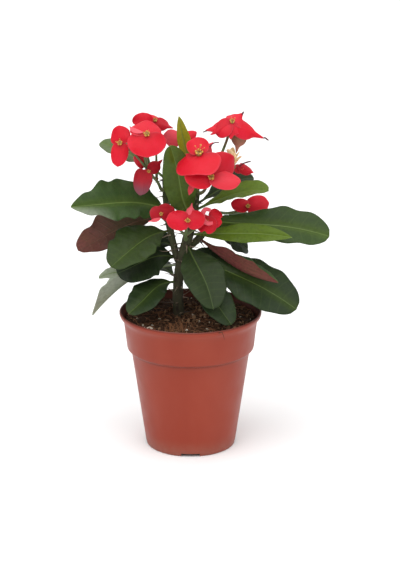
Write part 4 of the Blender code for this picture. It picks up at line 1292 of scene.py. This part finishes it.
def ends_of(node):
    """Foot and tip of a leaf's solid: the middles of its two ends along its longest direction.

    The foot is the end that lies nearer to the stem.
    """
    corners = np.empty(len(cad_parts[node].data.vertices) * 3)
    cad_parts[node].data.vertices.foreach_get("co", corners)
    corners = np.unique(np.round(corners.reshape(-1, 3) / MM, 3), axis=0)
    centred = corners - corners.mean(axis=0)
    direction = np.linalg.svd(centred, full_matrices=False)[2][0]
    place = centred @ direction
    ends = [corners[place < place.min() + 1.0].mean(axis=0), corners[place > place.max() - 1.0].mean(axis=0)]
    low, high = (np.array(corner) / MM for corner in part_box("stem"))
    middle = 0.5 * (low + high)[:2]
    ends.sort(key=lambda end: np.linalg.norm(end[:2] - middle))
    return ends


def leaf_half_widths(t, width, widest, ends):
    """Half the width along the leaf: drawn out to a stalk at the base, greatest at widest.

    It is sin(pi t^p) to a power that runs from the base's value to the tip's; a low value gives a
    round end.
    """
    swelling = np.sin(np.pi * t ** (math.log(0.5) / math.log(widest)))
    shape = np.clip(swelling, 0.0, 1.0) ** (ends[0] + (ends[1] - ends[0]) * t)
    return np.maximum(0.5 * width * shape, 1.1 - 0.85 * t)


def leaf_blade(foot, tip, values, ends, thickness, painted_sheen=0.0, rows=71, columns=25):
    """Closed leaf blade.

    The midrib is the straight line from foot to tip plus a bow 4 rise t (1 - t) upwards and a
    slight sway sin(2 pi t) sideways. A row runs from it to the half width on both sides, turned up
    by the fold; the margin adds waves in height and in width that grow towards it, and the blade
    sinks a little between side veins. The lower skin is the upper one moved down by the thickness,
    more along the midrib.
    """
    width, widest, face, rise, fold, wave, dark, fresh, red = values
    t = np.linspace(0.0, 1.0, rows) ** 0.94
    run = tip - foot
    middles = foot + np.outer(t, run) + np.outer(4.0 * rise * t * (1.0 - t), (0.0, 0.0, 1.0))
    random = np.random.default_rng(int(abs(tip[0] * 7 + tip[1] * 3 + tip[2] * 5)))
    phase = random.uniform(0.0, 2.0 * math.pi, 2)
    sideways = unit(np.cross(run, face)) * min(1.0, width / 30.0)
    sway = sideways * random.uniform(0.6, 1.6) * random.choice((-1.0, 1.0))
    middles = middles + np.outer(np.sin(2.0 * math.pi * t), sway)
    # The foot reaches back into the bark.
    middles[0] -= FOOT_IN_BARK * unit(middles[1] - middles[0])
    normals, sides = frames_along(middles, face)
    halves = leaf_half_widths(t, width, widest, ends)[:, None]
    u = np.linspace(-1.0, 1.0, columns)
    u = (np.sign(u) * np.abs(u) ** 0.85)[None, :]
    off_rib = np.abs(u)
    t = t[:, None]
    calm = np.sin(np.pi * t)
    side_phase = np.where(u < 0.0, phase[0], phase[1])

    scallops = 0.034 * wave * np.sin(2.0 * math.pi * SCALLOPS * t + 2.0 * side_phase) * calm**0.5 * u**2
    reach = halves * u * (1.0 + scallops)
    fold = np.radians(fold * np.minimum(1.0, 4.0 * t * (1.15 - t)))
    swing = np.sin(2.0 * math.pi * (2.4 + 0.5 * random.uniform()) * t + side_phase)
    ripple = 0.4 * np.sin(2.0 * math.pi * RIPPLES * t + 1.7 * side_phase)
    wavy = wave * (swing + ripple) * calm * off_rib**2.2
    vein_number = SIDE_VEINS * (t - 0.16 * off_rib**1.3 * np.minimum(1.0, 2.0 * (1.0 - t))) + 0.5
    arch = 0.05 * halves * (1.0 - (2.0 * off_rib - 1.0) ** 2)
    dips = 0.20 * np.cos(2.0 * math.pi * vein_number) * off_rib * (1.0 - off_rib) * calm
    groove = GROOVE_DEPTH * np.exp(-((reach / RIB_WIDTH) ** 2))
    lift = np.abs(reach) * np.sin(fold) + wavy + arch - dips - groove
    out = reach * np.cos(fold)
    upper = middles[:, None, :] + out[..., None] * sides[:, None, :] + lift[..., None] * normals[:, None, :]
    ridge = thickness + (0.9 - 0.6 * t) * np.exp(-((reach / 0.8) ** 2))
    ridge = ridge * (1.0 - 0.5 * off_rib**4)
    lower = upper - ridge[..., None] * normals[:, None, :]

    # Finish 1 is the underside's; the other faces take finish 0.
    quads = sheet_quads(rows, columns)
    finishes = np.repeat([0, 1, 0], [len(group) for group in quads])
    # Painted sheen: the half of the blade that lies in front, or lower, is painted pale towards the tip by
    # the given share, for the reflection of the bright surroundings.
    front = np.clip(u * np.sign(sides[rows // 2] @ (0.0, -1.0, -0.6)), 0.0, 1.0) ** 0.5
    sheen_paling = painted_sheen + max(dark, 0.0) * min(1.0, 2.0 * painted_sheen)
    dark = dark - sheen_paling * front * smooth_step(0.4, 0.95, t)
    attributes = {
        "leaf_place": both_skins(np.abs(reach), t, vein_number),
        "leaf_tone": both_skins(dark + np.zeros_like(reach), fresh, red),
    }
    return two_skins(upper, lower), np.vstack(quads), finishes, attributes


def leaf_piece(name, blade, finishes):
    points, quads, sides, attributes = blade
    leaf = make_piece(name, points, quads, finishes, sides, attributes)
    turn_outward(leaf)
    return leaf


def leaf_slot(node):
    if "maroon" in node:
        return "maroon_leaf"
    if node in ("leaf_back_pale", "leaf_left_folded"):
        return "pale_leaf"
    return "young_leaf" if node in ("leaf_young", "leaf_upright") else "green_leaf"


class PLANT_OT_leaves(bpy.types.Operator):
    """Grow every leaf where its solid stands, with midrib, side veins and wavy margin"""

    bl_idname = "plant.leaves"
    bl_label = "Leaves"

    def execute(self, context):
        settings = context.scene.plant_leaf
        finishes = [leaf_finish(settings, True), leaf_finish(settings, False)]
        thickness = settings.thickness / MM
        for node, values in LEAVES.items():
            ends, painted_sheen = LEAF_ENDS.get(node, USUAL_ENDS), PAINTED_SHEENS.get(node, 0.0)
            blade = leaf_blade(*ends_of(node), values, ends, thickness, painted_sheen)
            leaf = leaf_piece(node.replace("leaf_", "blade_"), blade, finishes)
            install(leaf, leaf_slot(node), node)
        for node, (foot, tip, values, ends) in FLAPS.items():
            blade = leaf_blade(np.array(foot), np.array(tip), values, ends, thickness, 0.0, 41, 15)
            install(leaf_piece(node.replace("leaf_", "flap_"), blade, finishes), leaf_slot(node))
        return {"FINISHED"}


# ---- Flowers ----


def bract_surface(foot, edge, width, face, shape, tone, seed, cells=26):
    """Closed bract, almost round.

    A square grid is bent onto a disc: a = u sqrt(1 - v^2 / 2) across and b = v sqrt(1 - u^2 / 2)
    along. Along runs from the foot at b = -1 to the far edge at b = 1; beside the foot the lobes
    reach back with |a| (1 - b). A point makes the last part of the way to the edge, round a = 0. The
    height over the line from foot to edge sinks with droop a^2 and with curl along^2, and a soft
    wave runs round the margin.
    """
    lobe, droop, curl, point = BRACT_SHAPES[shape]
    phase = np.random.default_rng(seed).uniform(0.0, 2.0 * math.pi, 3)
    u, v = np.meshgrid(np.linspace(-1.0, 1.0, cells), np.linspace(-1.0, 1.0, cells))
    a, b = u * np.sqrt(1.0 - 0.5 * v**2), v * np.sqrt(1.0 - 0.5 * u**2)
    along = 0.5 * (1.0 + b)
    reach, angle = np.hypot(a, b), np.arctan2(a, b)
    run = edge - foot
    length = np.linalg.norm(run)
    tangent = run / length
    normal = unit(unit(face) - (unit(face) @ tangent) * tangent)
    side = np.cross(tangent, normal)
    x = 0.5 * width * a * (1.0 + 0.035 * np.sin(2.0 * angle + phase[0]))
    spread = 1.0 - max(point, 0.0)
    tip = point * np.exp(-((a / 0.22) ** 2)) * along**5
    y = length * (spread * along - lobe * np.abs(a) * (1.0 - along) + tip)
    ripple = 0.03 * width * reach**3 * (np.sin(3.0 * angle + phase[1]) + 0.5 * np.sin(5.0 * angle + phase[2]))
    sagging = droop * width * a**2 * (0.4 + 0.6 * along) + curl * length * along**2
    z = 0.3 - sagging + ripple * np.minimum(1.0, 3.0 * along)
    upper = foot + y[..., None] * tangent + x[..., None] * side + z[..., None] * normal
    lower = upper - (0.45 - 0.15 * reach[..., None] ** 4) * normal
    return two_skins(upper, lower), np.vstack(sheet_quads(cells, cells)), both_skins(a, along, tone)


def bract(values, cup, seed, cells=26):
    """One bract of the tables above; a foot of None is the cup's middle."""
    foot, edge, width, face, shape, tone = values
    foot = np.array(cup if foot is None else foot, float)
    return bract_surface(foot, np.array(edge, float), width, face, shape, tone, seed, cells)


def ribbon_surface(way, width, tone, samples=40, columns=7):
    """Closed ribbon along a smooth path that faces the front, rolled in at its edges."""
    middles = smooth_path(way, samples)
    normals, sides = frames_along(middles, (0.0, -1.0, 0.2))
    t = np.linspace(0.0, 1.0, samples)[:, None]
    u = np.linspace(-1.0, 1.0, columns)[None, :]
    half = 0.5 * width * (0.35 + 0.65 * np.sin(np.pi * (0.12 + 0.8 * t)) ** 0.7)
    rolled = (0.25 * width * u**2)[..., None] * normals[:, None, :]
    upper = middles[:, None, :] + (half * u)[..., None] * sides[:, None, :] - rolled
    lower = upper - 0.6 * normals[:, None, :]
    return two_skins(upper, lower), np.vstack(sheet_quads(samples, columns)), both_skins(0.5 * u, t, tone)


def join_surfaces(name, surfaces, material):
    """One mesh from several closed bracts."""
    joined = Joined()
    for points, quads, places in surfaces:
        joined.add(points, quads, row=places)
    return joined.piece(name, material, "bract_place")


def flower_cup(name, middle, normal, size, material, seed):
    """The small cup between the bracts: an urn, five glands on its rim, red filaments with heads."""
    random = np.random.default_rng(seed)
    side = unit(np.cross(normal, (0.3, 0.1, 1.0)))
    other = np.cross(normal, side)
    joined = Joined()

    def add(start, way, rings, sides, shade):
        places, radii = size * np.array(rings).T
        joined.add_tube(np.column_stack([start + np.outer(places, way), radii]), sides, shade)

    add(middle, normal, URN_RINGS, 14, CUP)
    for gland in range(GLANDS):
        angle = gland * 2.0 * math.pi / GLANDS + random.uniform(0.0, 0.2)
        out = math.cos(angle) * side + math.sin(angle) * other
        tangent = math.cos(angle) * other - math.sin(angle) * side
        add(middle + size * (1.55 * out + 1.35 * normal), tangent, GLAND_RINGS, 8, GLAND)
    t = np.linspace(0.0, 1.0, len(THREAD_RADII))
    for thread in range(THREADS):
        angle = random.uniform(0.0, 2.0 * math.pi)
        lean = random.uniform(0.15, 0.75)
        out = math.cos(angle) * side + math.sin(angle) * other
        heading = unit(normal + lean * out)
        length = size * random.uniform(1.6, 3.2)
        bent = np.outer(0.25 * length * t**2, out)
        middles = middle + 1.2 * size * normal + np.outer(length * t, heading) + bent
        path = np.column_stack([middles, size * np.array(THREAD_RADII)])
        joined.add_tube(path, 6, RED_THREAD if thread % 3 else GLAND)
        add(middles[-1], heading, HEAD_RINGS, 7, THREAD_HEAD)
    install(joined.piece(name, material), "flower_stalk")


def dark_hooks(skins):
    """Every hook in one piece; its root is the nearest point of its flower's bracts."""
    hooks = Joined()
    for node, way in HOOKS:
        gaps = np.linalg.norm(skins[node] - way[0][:3], axis=1)
        root = (*skins[node][np.argmin(gaps)], way[0][3])
        hooks.add_tube(smooth_path([root, *way], 14), 8)
    return hooks.piece("dark_hooks", grain_finish("dark_hook", HOOK_DARK, HOOK_LIGHT, 0.5))


class PLANT_OT_flowers(bpy.types.Operator):
    """Open every flower: round bracts on a small cup of glands and filaments"""

    bl_idname = "plant.flowers"
    bl_label = "Flowers"

    def execute(self, context):
        settings = context.scene.plant_flower
        red, cup_material = bract_finish(settings), cup_finish(settings)
        seeds = iter(range(101, 400))
        skins = {}
        for node, (cup, size, lean, bracts) in FLOWERS.items():
            surfaces = [bract(values, cup, next(seeds)) for values in bracts]
            skins[node] = np.vstack([surface[0] for surface in surfaces])
            install(join_surfaces(node.replace("flower_", "bracts_"), surfaces, red), "red_bract", node)
            lean = unit(lean)
            name, middle = node.replace("flower_", "cup_"), np.array(cup) + 0.5 * lean
            flower_cup(name, middle, lean, size, cup_material, next(seeds))
        for name, values in SMALL_BRACTS.items():
            install(join_surfaces(name, [bract(values, None, next(seeds), 14)], red), "red_bract")
        curled = join_surfaces("bract_low_right_curled", [ribbon_surface(*CURLED_BRACT)], red)
        install(curled, "red_bract")
        install(dark_hooks(skins), "red_bract")
        scale = bract((*LEAFY_SCALE, "pointed", 0.0), None, next(seeds))
        install(join_surfaces("leafy_scale", [scale], papery_finish("papery_scale")), "flower_stalk")
        return {"FINISHED"}


class PLANT_OT_cream_flower(bpy.types.Operator):
    """Form the half-open cream flower from pointed lobes around a bud"""

    bl_idname = "plant.cream_flower"
    bl_label = "Cream flower"

    def execute(self, context):
        settings = context.scene.plant_flower
        foot, tip = (np.array(point) for point in CREAM_FLOWER)
        surfaces = []
        for seed, (end, width, tone) in enumerate(CREAM_LOBES, 501):
            # A lobe's hollow side looks up and back at the bud's middle.
            face = unit(0.5 * unit(tip - foot) - unit(np.array(end) - 0.5 * (foot + tip)))
            surfaces.append(bract_surface(foot, np.array(end), width, face, "dish", tone, seed, 16))
        flower = join_surfaces("cream_flower_lobes", surfaces, cream_finish(settings))
        install(flower, "cream_bud", "young_flower_cream")
        return {"FINISHED"}


# ---- Stalks ----


def stalk_end(flower):
    """The last two points of a stalk: square behind a flower's cup, or under the cream flower."""
    if flower == "cream_flower":
        foot, tip = (np.array(point) for point in CREAM_FLOWER)
        return [foot - 3.5 * unit(tip - foot), foot + 0.5 * unit(tip - foot)]
    cup, _, lean, _ = FLOWERS[flower]
    cup, lean = np.array(cup), unit(lean)
    return [cup - 4.0 * lean, cup - 0.2 * lean]


def stalk_tube(controls, radius, samples):
    """Smooth stalk, thicker at both ends: radius times 1 + 0.4 cos^8(pi t) - 0.18 t."""
    path = smooth_path(np.array(controls, float), samples)
    t = np.linspace(0.0, 1.0, samples)
    radii = radius * (1.0 + 0.4 * np.abs(np.cos(np.pi * t)) ** 8 - 0.18 * t)
    return np.column_stack([path, radii])


class PLANT_OT_stalks(bpy.types.Operator):
    """Draw the forked flower stalks from the stem to the cups, with a dry scale at each fork"""

    bl_idname = "plant.stalks"
    bl_label = "Flower stalks"

    def execute(self, context):
        settings = context.scene.plant_flower
        stalk = stalk_finish(settings)
        random = np.random.default_rng(41)
        scales = []
        for node, (start, way, flower, forks) in STALKS.items():
            joined = Joined()
            trunk = stalk_tube([start, *way, *stalk_end(flower)], TRUNK_RADIUS, 60)
            joined.add_tube(trunk, 14)
            for place, fork_way, fork_flower in forks:
                root = trunk[round(place * (len(trunk) - 1)), :3]
                joined.add_tube(stalk_tube([root, *fork_way, *stalk_end(fork_flower)], FORK_RADIUS, 44), 12)
                out = unit(fork_way[0] - root)
                end = root + 4.5 * unit(out + 0.5 * random.normal(size=3))
                seed = 400 + len(scales)
                scales.append(bract_surface(root + 0.8 * out, end, 3.0, -out, "pointed", 0.0, seed, 9))
            grown = joined.piece(node.replace("flower_", "") + "_grown", stalk)
            install(grown, "flower_stalk", node)
        install(join_surfaces("dry_scales", scales, papery_finish("dry_scale")), "flower_stalk")
        return {"FINISHED"}


# ---- Stage ----


def wide_light(name, come_from, power, width):
    """Soft light that falls evenly over the stage; width is the angle it fills, in degrees."""
    data = bpy.data.lights.new(name, "SUN")
    data.energy = power
    data.angle = math.radians(width)
    light = bpy.data.objects.new(name, data)
    light.location = come_from
    light.rotation_mode = "QUATERNION"
    light.rotation_quaternion = (-Vector(come_from)).to_track_quat("-Z", "Y")
    bpy.context.scene.collection.objects.link(light)


def studio_world(brightness):
    """White surroundings: plain white behind the plant.

    Where they light the plant, they are brighter overhead than at the sides.
    """
    world = bpy.data.worlds.new("studio")
    world.use_nodes = True
    tree = world.node_tree
    background = tree.nodes["Background"]
    background.inputs["Color"].default_value = (1.0, 1.0, 1.0, 1.0)
    seen = tree.nodes.new("ShaderNodeLightPath").outputs["Is Camera Ray"]
    heading = tree.nodes.new("ShaderNodeTexCoord").outputs["Generated"]
    parts = tree.nodes.new("ShaderNodeSeparateXYZ")
    tree.links.new(heading, parts.inputs[0])
    overhead = tree.nodes.new("ShaderNodeMapRange")
    overhead.inputs["From Min"].default_value = 0.1
    overhead.inputs["To Min"].default_value = 0.45 * brightness
    overhead.inputs["To Max"].default_value = 1.8 * brightness
    tree.links.new(parts.outputs["Z"], overhead.inputs["Value"])
    strength = tree.nodes.new("ShaderNodeMapRange")
    tree.links.new(overhead.outputs[0], strength.inputs["To Min"])
    tree.links.new(seen, strength.inputs["Value"])
    tree.links.new(strength.outputs[0], background.inputs["Strength"])
    return world


class PLANT_OT_stage(bpy.types.Operator):
    """Lay the pale floor, hang soft lights and set up the camera"""

    bl_idname = "plant.stage"
    bl_label = "Stage"

    def execute(self, context):
        settings = context.scene.plant_stage
        half = 3.0 / MM
        corners = [(-half, -half, 0.0), (half, -half, 0.0), (half, half, 0.0), (-half, half, 0.0)]
        make_piece("studio_floor", corners, np.array([[0, 1, 2, 3]]), [floor_finish(settings)])
        context.scene.world = studio_world(settings.surroundings)
        for name, come_from, share, width in LIGHTS:
            wide_light(name, come_from, share * settings.key, width)

        camera = bpy.data.objects.new("camera", bpy.data.cameras.new("camera"))
        context.scene.collection.objects.link(camera)
        turn, lift = math.radians(settings.azimuth), math.radians(settings.elevation)
        back = Vector((math.sin(turn) * math.cos(lift), -math.cos(turn) * math.cos(lift), math.sin(lift)))
        camera.location = Vector(CAMERA_TARGET) + back * settings.distance
        camera.rotation_mode = "QUATERNION"
        camera.rotation_quaternion = (-back).to_track_quat("-Z", "Y")
        camera.data.lens = settings.lens
        camera.data.sensor_width = 36.0
        camera.data.clip_start = 0.05
        camera.data.clip_end = 20.0
        context.scene.camera = camera
        context.scene.view_settings.view_transform = "Standard"
        return {"FINISHED"}


# ---- Panel and registration ----

STEPS = (
    PLANT_OT_pot,
    PLANT_OT_soil,
    PLANT_OT_stem,
    PLANT_OT_leaves,
    PLANT_OT_stalks,
    PLANT_OT_flowers,
    PLANT_OT_cream_flower,
    PLANT_OT_stage,
)

SETTINGS = {
    "plant_pot": PotSettings,
    "plant_soil": SoilSettings,
    "plant_stem": StemSettings,
    "plant_leaf": LeafSettings,
    "plant_flower": FlowerSettings,
    "plant_stage": StageSettings,
}


class PLANT_PT_panel(bpy.types.Panel):
    """Lists the steps that build the plant, with their sizes and colours"""

    bl_idname = "PLANT_PT_panel"
    bl_label = "Potted crown of thorns"
    bl_space_type = "VIEW_3D"
    bl_region_type = "UI"
    bl_category = "Plant"

    def draw(self, context):
        for step in STEPS:
            self.layout.operator(step.bl_idname)
        for key, group in SETTINGS.items():
            box = self.layout.box()
            for name in group.__annotations__:
                box.prop(getattr(context.scene, key), name)


def register():
    for group in SETTINGS.values():
        bpy.utils.register_class(group)
    for step in (*STEPS, PLANT_PT_panel):
        bpy.utils.register_class(step)
    for key, group in SETTINGS.items():
        setattr(bpy.types.Scene, key, PointerProperty(type=group))


def unregister():
    for key in SETTINGS:
        delattr(bpy.types.Scene, key)
    for step in (*STEPS, PLANT_PT_panel):
        bpy.utils.unregister_class(step)
    for group in SETTINGS.values():
        bpy.utils.unregister_class(group)


def main():
    register()
    for step in STEPS:
        group, name = step.bl_idname.split(".")
        getattr(getattr(bpy.ops, group), name)()


if __name__ == "__main__":
    main()
